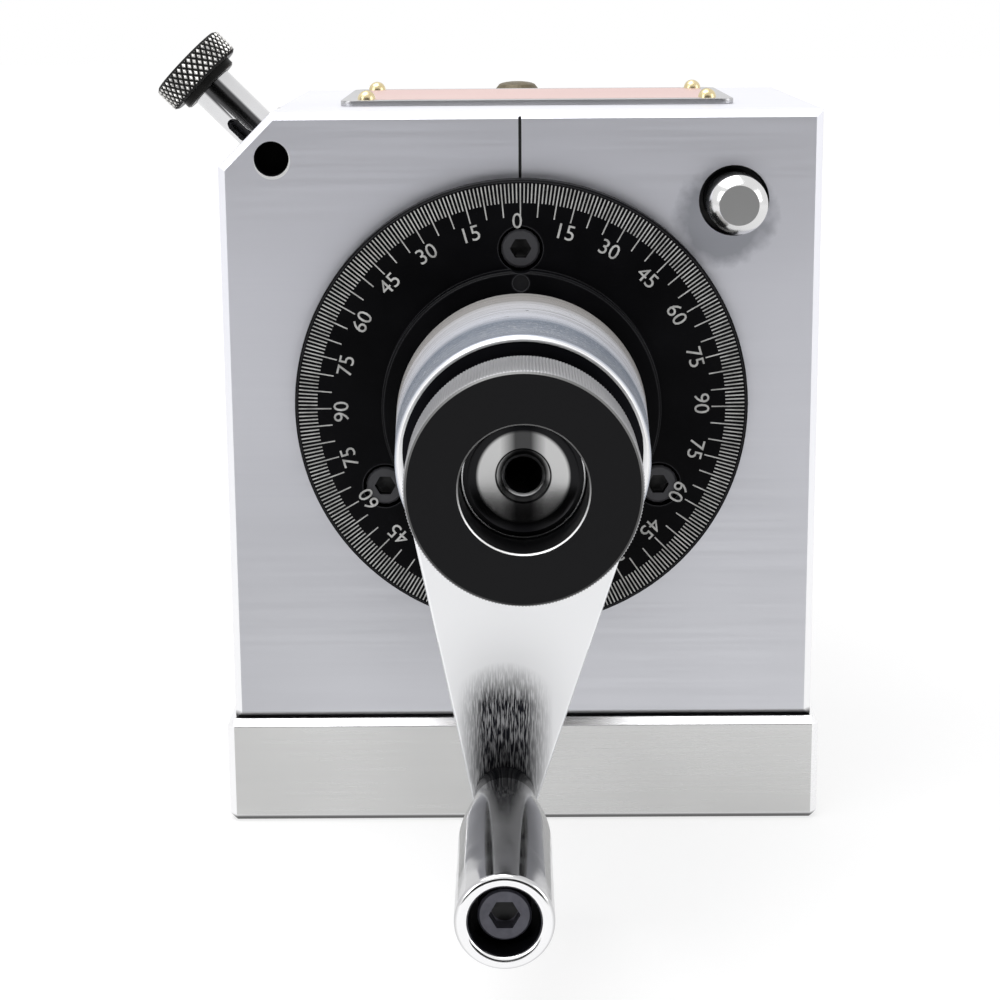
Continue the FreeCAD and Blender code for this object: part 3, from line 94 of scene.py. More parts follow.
def noise(tree, scale, detail, place=None):
    """Cloudy noise over the piece's own coordinates, or over those given."""
    if place is None:
        place = node(tree, "ShaderNodeTexCoord").outputs["Object"]
    return node(tree, "ShaderNodeTexNoise", {"Vector": place, "Scale": scale, "Detail": detail}).outputs[0]


def feed(surface, **links):
    """Leads each value into the input of that name, where an underscore stands for a space."""
    for name, value in links.items():
        surface.id_data.links.new(value, surface.inputs[name.replace("_", " ")])


def seen_directly(tree):
    """1 where the eye, a mirror or glass looks, 0 for the light that falls on things."""
    path = node(tree, "ShaderNodeLightPath")
    mirrored = plus(path.outputs["Is Camera Ray"], path.outputs["Is Glossy Ray"])
    return plus(mirrored, path.outputs["Is Transmission Ray"], clamp=True)


def emptied(owner):
    """The node tree of a world or a material, with nothing in it."""
    owner.use_nodes = True
    owner.node_tree.nodes.clear()
    return owner.node_tree


ROOM_LIGHT = 0.5
room = bpy.data.worlds.new("white_room")
room_tree = emptied(room)
level = node(room_tree, "ShaderNodeMapRange", {"Value": seen_directly(room_tree), "To Min": ROOM_LIGHT})
sky = node(room_tree, "ShaderNodeBackground", {"Color": (1, 1, 1, 1), "Strength": level.outputs[0]})
node(room_tree, "ShaderNodeOutputWorld", {"Surface": sky.outputs[0]})
bpy.context.scene.world = room

TABLE_WHITENESS = 0.6
GLOW_NEAR = 1.20
GLOW_FAR = 1.40

table_paint = bpy.data.materials.new("white_table")
paint_tree = emptied(table_paint)
matt = node(paint_tree, "ShaderNodeBsdfDiffuse", {"Color": (0.86, 0.86, 0.86, 1)})
away = node(paint_tree, "ShaderNodeVectorMath", {0: node(paint_tree, "ShaderNodeTexCoord").outputs["Object"]},
            operation="LENGTH")
level = node(paint_tree, "ShaderNodeMapRange",
             {"Value": away.outputs["Value"], "From Min": 0.2, "From Max": 0.9, "To Min": GLOW_NEAR,
              "To Max": GLOW_FAR})
glow = node(paint_tree, "ShaderNodeEmission", {"Color": (1, 1, 1, 1), "Strength": level.outputs[0]})
share = times(seen_directly(paint_tree), TABLE_WHITENESS)
mixed = node(paint_tree, "ShaderNodeMixShader", {0: share, 1: matt.outputs[0], 2: glow.outputs[0]})
node(paint_tree, "ShaderNodeOutputMaterial", {"Surface": mixed.outputs[0]})
TABLE_HALF = 4.0


def card(name, paint, *corners):
    """A flat piece of the room with one paint."""
    mesh = bpy.data.meshes.new(name)
    mesh.from_pydata(corners, [], [(0, 1, 2, 3)])
    mesh.materials.append(paint)
    made = placed(name, mesh)
    return made


card("table_top", table_paint, (-TABLE_HALF, -TABLE_HALF, 0), (TABLE_HALF, -TABLE_HALF, 0),
     (TABLE_HALF, TABLE_HALF, 0), (-TABLE_HALF, TABLE_HALF, 0))

LAMPS = [("overhead_lamp", (-0.25, -0.1, 1.1), 0.9, 7.0), ("left_lamp", (-1.0, -0.7, 0.6), 0.6, 2.5),
         ("right_lamp", (1.1, -0.4, 0.5), 0.6, 2.0)]
for name, place, width, watts in LAMPS:
    lamp = bpy.data.lights.new(name, "AREA")
    lamp.shape = "SQUARE"
    lamp.size = width
    lamp.energy = watts
    hung = placed(name, lamp)
    hung.location = place
    hung.rotation_euler = (Vector((0, 0, 0.08)) - Vector(place)).to_track_quat("-Z", "Y").to_euler()


# The camera's side of the room is dark, and only polished metal shows it
BOARD_FOOT = 0.12
BOARD_TOP = 0.02
board_paint = bpy.data.materials.new("dark_board")
board_tree = emptied(board_paint)
level = node(board_tree, "ShaderNodeMapRange",
             {"Value": own_axes(board_tree)[2], "From Max": 0.16, "To Min": BOARD_FOOT, "To Max": BOARD_TOP})
dim = node(board_tree, "ShaderNodeEmission", {"Color": (1, 1, 1, 1), "Strength": level.outputs[0]})
node(board_tree, "ShaderNodeOutputMaterial", {"Surface": dim.outputs[0]})
front_board = card("front_board", board_paint, (-1.2, -1.0, 0.0), (1.2, -1.0, 0.0), (1.2, -1.0, 0.62),
                   (-1.2, -1.0, 0.62))
for ray in ("camera", "diffuse", "shadow", "transmission"):
    setattr(front_board, "visible_" + ray, False)


# Base and body
# The base is a ground steel slab and the body a ground block with one corner cut off. Four screws
# from below hold them together. The index line in the front face is filled with black.

MM = 0.001


def new_group(name, inputs, outputs):
    """An empty shader node group with named sockets."""
    tree = bpy.data.node_groups.new(name, "ShaderNodeTree")
    for label, kind, value in inputs:
        made = tree.interface.new_socket(label, in_out="INPUT", socket_type=kind)
        made.default_value = value
    for label, kind in outputs:
        tree.interface.new_socket(label, in_out="OUTPUT", socket_type=kind)
    return tree, tree.nodes.new("NodeGroupInput"), tree.nodes.new("NodeGroupOutput")


# Grinding lines run along X, and along Y on the faces that look sideways
grinding, given, result = new_group("grinding_lines",
                                    [("Lines per metre", "NodeSocketFloat", 1500.0),
                                     ("Cloud size", "NodeSocketFloat", 18.0)],
                                    [("Lines", "NodeSocketFloat"), ("Clouds", "NodeSocketFloat"),
                                     ("Slanted", "NodeSocketFloat"), ("Upward", "NodeSocketFloat")])
axes = own_axes(grinding)
fine = given.outputs["Lines per metre"]
slow = times(fine, 0.02)
across = node(grinding, "ShaderNodeCombineXYZ",
              {0: times(axes[0], slow), 1: times(axes[1], fine), 2: times(axes[2], fine)})
along = node(grinding, "ShaderNodeCombineXYZ", {0: 0.0, 1: times(axes[1], slow), 2: times(axes[2], fine)})
facing = own_axes(grinding, "Normal")
sideways = above(size_of(facing[0]), 0.8)
course = node(grinding, "ShaderNodeMix", {0: sideways, 4: across.outputs[0], 5: along.outputs[0]},
              data_type="VECTOR")
feed(result, Lines=noise(grinding, 1.0, 3.0, course.outputs[1]),
     Clouds=noise(grinding, given.outputs["Cloud size"], 2.0))
sizes = [size_of(facing[i]) for i in range(3)]
straightest = larger(sizes[0], larger(sizes[1], sizes[2]))
feed(result, Slanted=below(straightest, 0.93))
feed(result, Upward=above(facing[2], 0.93))

# Rubbed edges, partly real wear and partly painted highlight, found where a rounded normal turns away from
# the flat one
edge_wear_and_highlight, given, result = new_group("rubbed_edges",
                                   [("Width", "NodeSocketFloat", 0.4 * MM),
                                    ("Patchiness", "NodeSocketFloat", 60.0)], [("Mask", "NodeSocketFloat")])
flat_way = node(edge_wear_and_highlight, "ShaderNodeNewGeometry")
round_way = node(edge_wear_and_highlight, "ShaderNodeBevel", {"Radius": given.outputs["Width"]}, samples=6)
agreement = node(edge_wear_and_highlight, "ShaderNodeVectorMath", {0: flat_way.outputs["Normal"], 1: round_way.outputs[0]},
                 operation="DOT_PRODUCT")
turning = minus(1.0, agreement.outputs["Value"])
patches = noise(edge_wear_and_highlight, given.outputs["Patchiness"], 3.0)
worn = times(turning, times(patches, 16.0))
feed(result, Mask=math_node("MINIMUM", worn, 1.0))


def use_group(tree, group, **values):
    made = tree.nodes.new("ShaderNodeGroup")
    made.node_tree = group
    for label, value in values.items():
        made.inputs[label.replace("_", " ")].default_value = value
    return made


def new_finish(name, colour, roughness, metallic=1.0, specular=0.5):
    """A material with one Principled shader; returns the material, its tree and that shader."""
    made = bpy.data.materials.new(name)
    made.use_nodes = True
    tree = made.node_tree
    surface = tree.nodes["Principled BSDF"]
    surface.inputs["Base Color"].default_value = (*colour, 1)
    surface.inputs["Roughness"].default_value = roughness
    surface.inputs["Metallic"].default_value = metallic
    surface.inputs["Specular IOR Level"].default_value = specular
    return made, tree, surface


def variant(finish, name):
    """A copy of a finish; returns it, its tree, its shader and the link that gives its colour."""
    made = finish.copy()
    made.name = name
    surface = made.node_tree.nodes["Principled BSDF"]
    return made, made.node_tree, surface, surface.inputs["Base Color"].links[0].from_socket


def ranged(value, low, high, out_low, out_high):
    """Maps low..high to out_low..out_high and holds the ends."""
    made = node(value.id_data, "ShaderNodeMapRange",
                {"Value": value, "From Min": low, "From Max": high, "To Min": out_low, "To Max": out_high})
    return made.outputs[0]


def blend(share, first, second):
    """A colour between two, each a colour or a link."""
    colours = [value if isinstance(value, bpy.types.NodeSocket) else (*value, 1) for value in (first, second)]
    made = node(share.id_data, "ShaderNodeMix", {0: share, 6: colours[0], 7: colours[1]}, data_type="RGBA")
    return made.outputs[2]


def raise_marks(surface, height, strength, distance):
    bump = node(surface.id_data, "ShaderNodeBump",
                {"Height": height, "Strength": strength, "Distance": distance})
    feed(surface, Normal=bump.outputs[0])


def ground_steel(name, colour, roughness, lines=1500.0, cloud_size=18.0, wear=0.35, top_highlight_share=0.85):
    """Steel ground flat: fine lines, soft clouds from handling, bright rubbed edges that are partly painted
    highlight, and a painted highlight on the top and the chamfers.
    """
    made, tree, surface = new_finish(name, colour, roughness)
    marks = use_group(tree, grinding, Lines_per_metre=lines, Cloud_size=cloud_size)
    edges = use_group(tree, edge_wear_and_highlight)
    cloudy = ranged(marks.outputs["Clouds"], 0.3, 0.7, 0.0, 1.0)
    darker = tuple(0.90 * part for part in colour)
    lighter = tuple(min(1.0, 1.07 * part) for part in colour)
    bare = blend(cloudy, darker, lighter)
    rim = times(edges.outputs["Mask"], wear)
    bright = blend(rim, bare, (0.86, 0.87, 0.88))
    # The chamfers and the top get a painted highlight and are the brightest
    painted_top_highlight = larger(marks.outputs["Slanted"], marks.outputs["Upward"])
    bright = blend(times(painted_top_highlight, top_highlight_share), bright, (0.95, 0.95, 0.96))
    feed(surface, Base_Color=bright)
    lined = ranged(marks.outputs["Lines"], 0.3, 0.7, -0.04, 0.04)
    matt_level = ranged(marks.outputs["Clouds"], 0.3, 0.7, roughness + 0.05, roughness - 0.05)
    feed(surface, Roughness=plus(matt_level, lined))
    raise_marks(surface, marks.outputs["Lines"], 0.12, 0.02 * MM)
    return made, tree, surface, bright


def keep_shape(piece, mesh):
    """Gives a piece a new mesh and drops its modifiers and its old mesh."""
    old = piece.data
    piece.modifiers.clear()
    piece.data = mesh
    bpy.data.meshes.remove(old)


def worked(piece):
    """The piece with its modifiers carried out, as a plain mesh."""
    view = bpy.context.evaluated_depsgraph_get()
    view.update()
    return bpy.data.meshes.new_from_object(piece.evaluated_get(view))


def round_edges(piece, width, steps=2):
    """Breaks each edge sharper than 30 degrees; width in millimetres."""
    bevel = piece.modifiers.new("broken_edges", "BEVEL")
    bevel.width = width * MM
    bevel.segments = steps
    bevel.limit_method = "ANGLE"
    bevel.angle_limit = math.radians(30)
    bevel.use_clamp_overlap = False
    keep_shape(piece, worked(piece))


def smooth(piece, angle=32.0):
    piece.data.shade_smooth()
    piece.data.set_sharp_from_angle(angle=math.radians(angle))


def hold_flats(piece):
    """Lets each vertex lean towards its largest face, so that flats look flat beside broken edges."""
    weigh = piece.modifiers.new("flat_faces", "WEIGHTED_NORMAL")
    weigh.mode = "FACE_AREA"
    weigh.weight = 100
    weigh.keep_sharp = True
    keep_shape(piece, worked(piece))


def from_solid(name, source, broken_edge=0.2):
    """A piece with the CAD solid's own shape, joined up, its edges broken."""
    mesh = bpy.data.objects[source].data.copy()
    mesh.materials.clear()
    mesh.name = name
    shape = bmesh.new()
    shape.from_mesh(mesh)
    bmesh.ops.remove_doubles(shape, verts=shape.verts, dist=0.002 * MM)
    bmesh.ops.dissolve_limit(shape, angle_limit=math.radians(0.5), verts=shape.verts, edges=shape.edges)
    shape.to_mesh(mesh)
    shape.free()
    for layer in list(mesh.attributes):
        if layer.name in ("custom_normal", "sharp_face", "sharp_edge"):
            mesh.attributes.remove(layer)
    piece = placed(name, mesh)
    round_edges(piece, broken_edge)
    smooth(piece)
    hold_flats(piece)
    return piece


def fit(piece, material, body, slot, *nodes):
    """Finishes a piece: its material, the body it moves with and the nodes it stands for; slot is not used.
    """
    if material:
        piece.data.materials.clear()
        piece.data.materials.append(material)
    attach(piece, body)
    if nodes:
        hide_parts(*nodes)


def paint(name, finish):
    """Finishes a node of the frame that is shown as it is."""
    bpy.data.objects[name].data.materials.clear()
    bpy.data.objects[name].data.materials.append(finish)


base_steel, tree, surface, bright = ground_steel("ground_base_steel", (0.60, 0.60, 0.595), 0.30)
axes = own_axes(tree)
# The foot is dark with old oil and painted contact shadow up to the end of its chamfer
foot_oil_and_shade = ranged(axes[2], 0.7 * MM, 1.4 * MM, 0.9, 0.0)
feed(surface, Base_Color=blend(foot_oil_and_shade, bright, (0.03, 0.03, 0.03)))
fit(from_solid("base_slab", "base_plate", 0.12), base_steel, "housing", "ground_base", "base_plate")

BODY_FRONT = -43.0 * MM
LINE_HALF = 0.27 * MM
LINE_FOOT = 118.5 * MM
PIN_SPOT = (38.2 * MM, 116.4 * MM)
PIN_RING = 6.3 * MM
HOLE_SPOT = (-44.30 * MM, 124.30 * MM)
HOLE_RING = 3.12 * MM
body_steel, tree, surface, bright = ground_steel("ground_body_steel", (0.585, 0.59, 0.625), 0.40,
                                                 cloud_size=11.0)
axes = own_axes(tree)
near_line = below(size_of(axes[0]), LINE_HALF)
above_dial = above(axes[2], LINE_FOOT)
in_front = below(axes[1], BODY_FRONT + 0.4 * MM)
black_line = times(near_line, times(above_dial, in_front))


def distance_in_face(axes, centre):
    """Distance from a point of the front face, whatever the depth."""
    sideways = minus(axes[0], centre[0])
    upwards = minus(axes[2], centre[1])
    squared = plus(times(sideways, sideways), times(upwards, upwards))
    return math_node("SQRT", squared)


# Painted shade: the stop pin's hole and the access hole are black inside
pin_away = distance_in_face(axes, PIN_SPOT)
behind_face = above(axes[1], BODY_FRONT + 0.01 * MM)
painted_hole_shade = below(pin_away, PIN_RING)
hole_away = distance_in_face(axes, HOLE_SPOT)
painted_hole_shade = larger(painted_hole_shade, below(hole_away, HOLE_RING))
painted_hole_shade = times(painted_hole_shade, behind_face)
# Both holes end inside the body's front half
front_half = below(axes[1], 0.0)
painted_hole_shade = times(painted_hole_shade, front_half)
# A thin black band runs along the body's foot, at its joint with the base
joint_band = ranged(axes[2], 20.5 * MM, 21.5 * MM, 1.0, 0.0)
black_and_shade = larger(black_line, larger(painted_hole_shade, joint_band))
# A painted highlight on the broken lower edge of the access hole
rim_away = distance_in_face(axes, (HOLE_SPOT[0] + 0.1 * MM, HOLE_SPOT[1] - 0.4 * MM))
painted_rim_highlight = times(below(rim_away, HOLE_RING + 0.15 * MM), front_half)
# Oil has crept out of the pin's hole and run a little way down the face
oil_noise = noise(tree, 220.0, 4.0)
oil_edge = times(minus(oil_noise, 0.5), 6.0 * MM)
below_pin = distance_in_face(axes, (PIN_SPOT[0] - 1.5 * MM, PIN_SPOT[1] - 3.0 * MM))
oil = ranged(plus(below_pin, oil_edge), 6.5 * MM, 9.5 * MM, 0.62, 0.0)
oil = times(oil, front_half)
# Painted light: the upper part is lighter, more so towards the top
painted_upper_light = ranged(axes[2], 40.0 * MM, 100.0 * MM, 0.0, 0.72)
lighter = blend(painted_upper_light, bright, (0.80, 0.805, 0.87))
oiled = blend(oil, lighter, (0.20, 0.21, 0.24))
with_rim_highlight = blend(painted_rim_highlight, oiled, (0.98, 0.98, 0.98))
feed(surface, Base_Color=blend(black_and_shade, with_rim_highlight, (0.002, 0.002, 0.003)))
feed(surface, Metallic=minus(1.0, black_and_shade))
fit(from_solid("body_block", "housing_block", 0.12), body_steel, "housing", "ground_body", "housing_block")


# Dial
# The dial is a turned and blackened steel disc with a boss, on the spindle, held to the index wheel
# by three socket screws in counterbores. Its lines and numbers are engraved and filled with white.

# Local Z of these pieces points from the body towards the crank, and 0 is the body's front face
SPINDLE_FRONT = Matrix.Translation((0, BODY_FRONT, 80.0 * MM)) @ Matrix.Rotation(math.radians(90), 4, "X")


def to_piece(name, shape, place=None):
    mesh = bpy.data.meshes.new(name)
    shape.to_mesh(mesh)
    shape.free()
    if place:
        mesh.transform(place)
    return placed(name, mesh)


def prism(name, outline, low, high, place=None):
    """An outline of (x, y) stretched along local Z, all in millimetres."""
    shape = bmesh.new()
    top, foot = ([shape.verts.new((x * MM, y * MM, level * MM)) for x, y in outline] for level in (high, low))
    shape.faces.new(top)
    shape.faces.new(list(reversed(foot)))
    for i in range(len(outline)):
        k = (i + 1) % len(outline)
        shape.faces.new((top[i], foot[i], foot[k], top[k]))
    bmesh.ops.recalc_face_normals(shape, faces=shape.faces)
    return to_piece(name, shape, place)


def turned(name, profile, steps=96, place=SPINDLE_FRONT, hollow=False):
    """A closed shape turned about local Z: (height, radius) in millimetres, a radius may follow the angle."""
    shape = bmesh.new()
    rings = []
    for height, radius in profile:
        if radius == 0:
            rings.append([shape.verts.new((0, 0, height * MM))])
            continue
        points = []
        for i in range(steps):
            angle = 2 * math.pi * i / steps
            reach = (radius(angle) if callable(radius) else radius) * MM
            points.append(shape.verts.new((reach * math.cos(angle), reach * math.sin(angle), height * MM)))
        rings.append(points)
    pairs = list(zip(rings, rings[1:]))
    if hollow:
        pairs.append((rings[-1], rings[0]))
    for one, two in pairs:
        for i in range(steps):
            k = (i + 1) % steps
            if len(one) == 1:
                shape.faces.new((one[0], two[i], two[k]))
            elif len(two) == 1:
                shape.faces.new((one[i], one[k], two[0]))
            else:
                shape.faces.new((one[i], one[k], two[k], two[i]))
    bmesh.ops.recalc_face_normals(shape, faces=shape.faces)
    return to_piece(name, shape, place)


def combine(piece, tool, operation):
    """Cuts a tool out of a piece, or joins it on, and throws the tool away."""
    step = piece.modifiers.new("combined", "BOOLEAN")
    step.operation = operation
    step.solver = "EXACT"
    step.object = tool
    keep_shape(piece, worked(piece))
    drop(tool)


def drop(piece):
    mesh = piece.data
    bpy.data.objects.remove(piece)
    bpy.data.meshes.remove(mesh)


def join(name, pieces):
    """Several loose pieces as one."""
    shape = bmesh.new()
    for piece in pieces:
        shape.from_mesh(piece.data)
        drop(piece)
    return to_piece(name, shape)


DIAL_FACE = 5.0
DIAL_RADIUS = 40.8
BOSS_FACE = 8.6
BOSS_RADIUS = 25.0
NECK_RADIUS = 20.6
HUB_BACK = 14.15
SINK_CIRCLE = 28.6
SINK_RADIUS = 4.0
SINK_FLOOR = 0.7
SCREW_TURNS = (0, 120, 240)

dial = turned("dial_disc",
              [(-3, 16.02), (-3, 37.4), (1, 37.4), (1, DIAL_RADIUS), (DIAL_FACE - 0.4, DIAL_RADIUS),
               (DIAL_FACE, DIAL_RADIUS - 0.4), (DIAL_FACE, BOSS_RADIUS), (BOSS_FACE - 0.4, BOSS_RADIUS),
               (BOSS_FACE, BOSS_RADIUS - 0.4), (BOSS_FACE, NECK_RADIUS), (HUB_BACK, NECK_RADIUS),
               (HUB_BACK, 16.02)], steps=192, hollow=True)
sinks = []
for turn in SCREW_TURNS:
    across = SINK_CIRCLE * math.sin(math.radians(turn)) * MM
    up = SINK_CIRCLE * math.cos(math.radians(turn)) * MM
    sinks.append(turned("sink",
                        [(SINK_FLOOR, 0), (SINK_FLOOR, SINK_RADIUS), (HUB_BACK, SINK_RADIUS), (HUB_BACK, 0)],
                        48, SPINDLE_FRONT @ Matrix.Translation((across, up, 0))))
sinks.append(turned("sink", [(4.6, 0), (4.6, 1.52), (HUB_BACK, 1.52), (HUB_BACK, 0)], 24,
                    SPINDLE_FRONT @ Matrix.Translation((0, 22.9 * MM, 0))))
combine(dial, join("sinks", sinks), "DIFFERENCE")
smooth(dial)

dial_black, tree, surface = new_finish("blackened_steel", (0.004, 0.004, 0.005), 0.34, 0.0, specular=0.04)
smears = noise(tree, 70.0, 5.0)
specks = noise(tree, 2600.0, 2.0)
edges = use_group(tree, edge_wear_and_highlight, Width=0.35 * MM, Patchiness=180.0)
thin = ranged(smears, 0.35, 0.75, 0.0, 1.0)
oxide = blend(thin, (0.0015, 0.0015, 0.002), (0.005, 0.005, 0.006))
rim = times(edges.outputs["Mask"], 0.4)
feed(surface, Base_Color=blend(rim, oxide, (0.12, 0.12, 0.13)))
feed(surface, Roughness=ranged(smears, 0.3, 0.7, 0.26, 0.44))
raise_marks(surface, specks, 0.08, 0.02 * MM)
fit(dial, dial_black, "spindle_group", "black_oxide", "dial")


def new_shape_tree(name, inputs):
    """An empty Geometry Nodes tree; returns it, its input node and its output node."""
    tree = bpy.data.node_groups.new(name, "GeometryNodeTree")
    for label, kind in inputs:
        tree.interface.new_socket(label, in_out="INPUT", socket_type=kind)
    tree.interface.new_socket("Geometry", in_out="OUTPUT", socket_type="NodeSocketGeometry")
    return tree, tree.nodes.new("NodeGroupInput"), tree.nodes.new("NodeGroupOutput")


def run_tree(piece, tree, values):
    """Runs a tree on a piece with its named inputs set, and keeps the result as a plain mesh."""
    step = piece.modifiers.new(tree.name, "NODES")
    step.node_group = tree
    for item in tree.interface.items_tree:
        if item.item_type == "SOCKET" and item.in_out == "INPUT" and item.name in values:
            step[item.identifier] = values[item.name]
    keep_shape(piece, worked(piece))


# A ring of engraved lines, every so many of them longer
ring_tree, given, result = new_shape_tree("ring_of_lines",
                                          [("Geometry", "NodeSocketGeometry"), ("Lines", "NodeSocketInt"),
                                           ("Long every", "NodeSocketInt"),
                                           ("Outer radius", "NodeSocketFloat"),
                                           ("Short inner", "NodeSocketFloat"),
                                           ("Long inner", "NodeSocketFloat"),
                                           ("Line width", "NodeSocketFloat"),
                                           ("Line depth", "NodeSocketFloat"), ("Fill", "NodeSocketMaterial")])
asked = given.outputs
stations = node(ring_tree, "GeometryNodeMeshLine", {"Count": asked["Lines"], "Offset": (0, 0, 0)})
number = node(ring_tree, "GeometryNodeInputIndex").outputs[0]
step_turn = math_node("DIVIDE", 2 * math.pi, asked["Lines"])
turn = node(ring_tree, "ShaderNodeCombineXYZ", {2: times(number, step_turn)})
left_over = math_node("MODULO", number, asked["Long every"])
is_long = below(left_over, 0.5)
is_short = minus(1.0, is_long)
rows = node(ring_tree, "GeometryNodeJoinGeometry")
for inner, chosen in (("Short inner", is_short), ("Long inner", is_long)):
    length = minus(asked["Outer radius"], asked[inner])
    middle = times(0.5, plus(asked["Outer radius"], asked[inner]))
    shape = node(ring_tree, "ShaderNodeCombineXYZ",
                 {0: asked["Line width"], 1: length, 2: asked["Line depth"]})
    bar = node(ring_tree, "GeometryNodeMeshCube", {"Size": shape.outputs[0]})
    out = node(ring_tree, "ShaderNodeCombineXYZ", {1: middle})
    moved = node(ring_tree, "GeometryNodeTransform",
                 {"Geometry": bar.outputs[0], "Translation": out.outputs[0]})
    row = node(ring_tree, "GeometryNodeInstanceOnPoints",
               {"Points": stations.outputs[0], "Selection": chosen, "Instance": moved.outputs[0],
                "Rotation": turn.outputs[0]})
    ring_tree.links.new(row.outputs[0], rows.inputs[0])
real = node(ring_tree, "GeometryNodeRealizeInstances", {"Geometry": rows.outputs[0]})
filled = node(ring_tree, "GeometryNodeSetMaterial", {"Geometry": real.outputs[0], "Material": asked["Fill"]})
ring_tree.links.new(filled.outputs[0], result.inputs[0])

line_white, tree, surface = new_finish("white_line_fill", (0.5, 0.5, 0.49), 0.6, 0.0, specular=0.2)
grime = noise(tree, 420.0, 3.0)
dirt_and_shade = ranged(grime, 0.35, 0.65, 0.0, 1.0)
feed(surface, Base_Color=blend(dirt_and_shade, (0.60, 0.60, 0.59), (0.38, 0.38, 0.37)))

lines = turned("dial_lines", [(0, 0), (0, 1), (1, 0)], 3)
run_tree(lines, ring_tree,
         {"Lines": 360, "Long every": 5, "Outer radius": 40.1 * MM, "Short inner": 36.7 * MM,
          "Long inner": 34.2 * MM, "Line width": 0.22 * MM, "Line depth": 0.06 * MM, "Fill": line_white})
lines.data.transform(SPINDLE_FRONT @ Matrix.Translation((0, 0, DIAL_FACE * MM)))
fit(lines, None, "spindle_group", "black_oxide")

NUMBER_CIRCLE = 32.3
ZERO_CIRCLE = 33.4
NUMBER_SIZE = 3.9
NUMBER_TURN = 1.0
numbers = []
for station in range(24):
    degrees = 15 * station
    label = min(degrees, 360 - degrees)
    label = label if label <= 90 else 180 - label
    words = bpy.data.curves.new("number", "FONT")
    words.body = str(label)
    words.size = NUMBER_SIZE * MM
    words.extrude = 0.03 * MM
    words.align_x = "CENTER"
    words.align_y = "CENTER"
    words.resolution_u = 3
    text = placed("number", words)
    shape = worked(text)
    bpy.data.objects.remove(text)
    bpy.data.curves.remove(words)
    around = Matrix.Rotation(math.radians(NUMBER_TURN - degrees), 4, "Z")
    circle = NUMBER_CIRCLE if station else ZERO_CIRCLE
    shape.transform(SPINDLE_FRONT @ around @ Matrix.Translation((0, circle * MM, DIAL_FACE * MM)))
    piece = placed("number", shape)
    numbers.append(piece)
fit(join("dial_numbers", numbers), line_white, "spindle_group", "black_oxide")


# Socket screws
# Blackened socket cap screws, bought in. They hold the dial, the rear bush, the slide base, the
# bracket under it, the clamp yoke and the base.

def hexagon(flats):
    """Radius of a hexagonal hole at an angle."""
    return lambda angle: flats / 2 / math.cos((angle % math.radians(60)) - math.radians(30))


def milled(radius, depth, count):
    """Radius of a rim with straight grooves at an angle."""
    return lambda angle: radius - depth * abs(2 * ((angle * count / (2 * math.pi)) % 1) - 1)


def cap_screw(radius, length, head_radius, head_height):
    """Local Z points out of the head, and 0 is the seat under it."""
    flats = head_radius * 0.95
    rim = milled(head_radius, 0.12, 16)
    top = head_height
    profile = [(-length, 0), (-length, radius * 0.8), (-length + radius * 0.2, radius), (0, radius),
               (0, head_radius - 0.3), (0.2, rim), (top - 0.35, rim), (top, head_radius - 0.45),
               (top, hexagon(flats)), (top * 0.45, hexagon(flats)), (top * 0.3, 0)]
    screw = turned("cap_screw", profile, 48, Matrix())
    smooth(screw)
    return screw


# One screw stood on each vertex, turned by that vertex's own angles
screw_tree, given, result = new_shape_tree("screws_in_place",
                                           [("Geometry", "NodeSocketGeometry"), ("Screw", "NodeSocketObject"),
                                            ("Finish", "NodeSocketMaterial")])
pattern = node(screw_tree, "GeometryNodeObjectInfo", {"Object": given.outputs["Screw"]})
angles = node(screw_tree, "GeometryNodeInputNamedAttribute", {"Name": "turn"}, data_type="FLOAT_VECTOR")
stood = node(screw_tree, "GeometryNodeInstanceOnPoints",
             {"Points": given.outputs["Geometry"], "Instance": pattern.outputs["Geometry"],
              "Rotation": angles.outputs[0]})
real = node(screw_tree, "GeometryNodeRealizeInstances", {"Geometry": stood.outputs[0]})
done = node(screw_tree, "GeometryNodeSetMaterial",
            {"Geometry": real.outputs[0], "Material": given.outputs["Finish"]})
screw_tree.links.new(done.outputs[0], result.inputs[0])


def set_screws(name, screw, places, finish):
    """Copies of one screw at each (place in millimetres, way its head faces)."""
    mesh = bpy.data.meshes.new(name)
    mesh.from_pydata([[MM * part for part in place] for place, facing in places], [], [])
    turns = mesh.attributes.new("turn", "FLOAT_VECTOR", "POINT")
    for i, (place, facing) in enumerate(places):
        turns.data[i].vector = Vector((0, 0, 1)).rotation_difference(Vector(facing)).to_euler()
    piece = placed(name, mesh)
    run_tree(piece, screw_tree, {"Screw": screw, "Finish": finish})
    return piece


screw_black, tree, surface = new_finish("blackened_screws", (0.008, 0.008, 0.009), 0.38, 0.0, specular=0.25)
edges = use_group(tree, edge_wear_and_highlight, Width=0.2 * MM, Patchiness=300.0)
rim = times(edges.outputs["Mask"], 0.8)
feed(surface, Base_Color=blend(rim, (0.010, 0.010, 0.012), (0.20, 0.20, 0.22)))
stains = noise(tree, 600.0, 3.0)
feed(surface, Roughness=ranged(stains, 0.3, 0.7, 0.28, 0.5))

M4 = (2.0, 9.0, 3.5, 4.0)
M6 = (3.0, 26.0, 5.0, 6.0)
HALF_DEPTH = 43.0
NOSE_BACK = 53.1
SLIDE_FACE = 73.1


def round_the_axis(circle, depth, turns, way):
    """Places on a circle round the spindle's axis, and the way the heads face along it."""
    return [((circle * math.sin(math.radians(turn)), depth, 80 + circle * math.cos(math.radians(turn))),
             (0, way, 0)) for turn in turns]
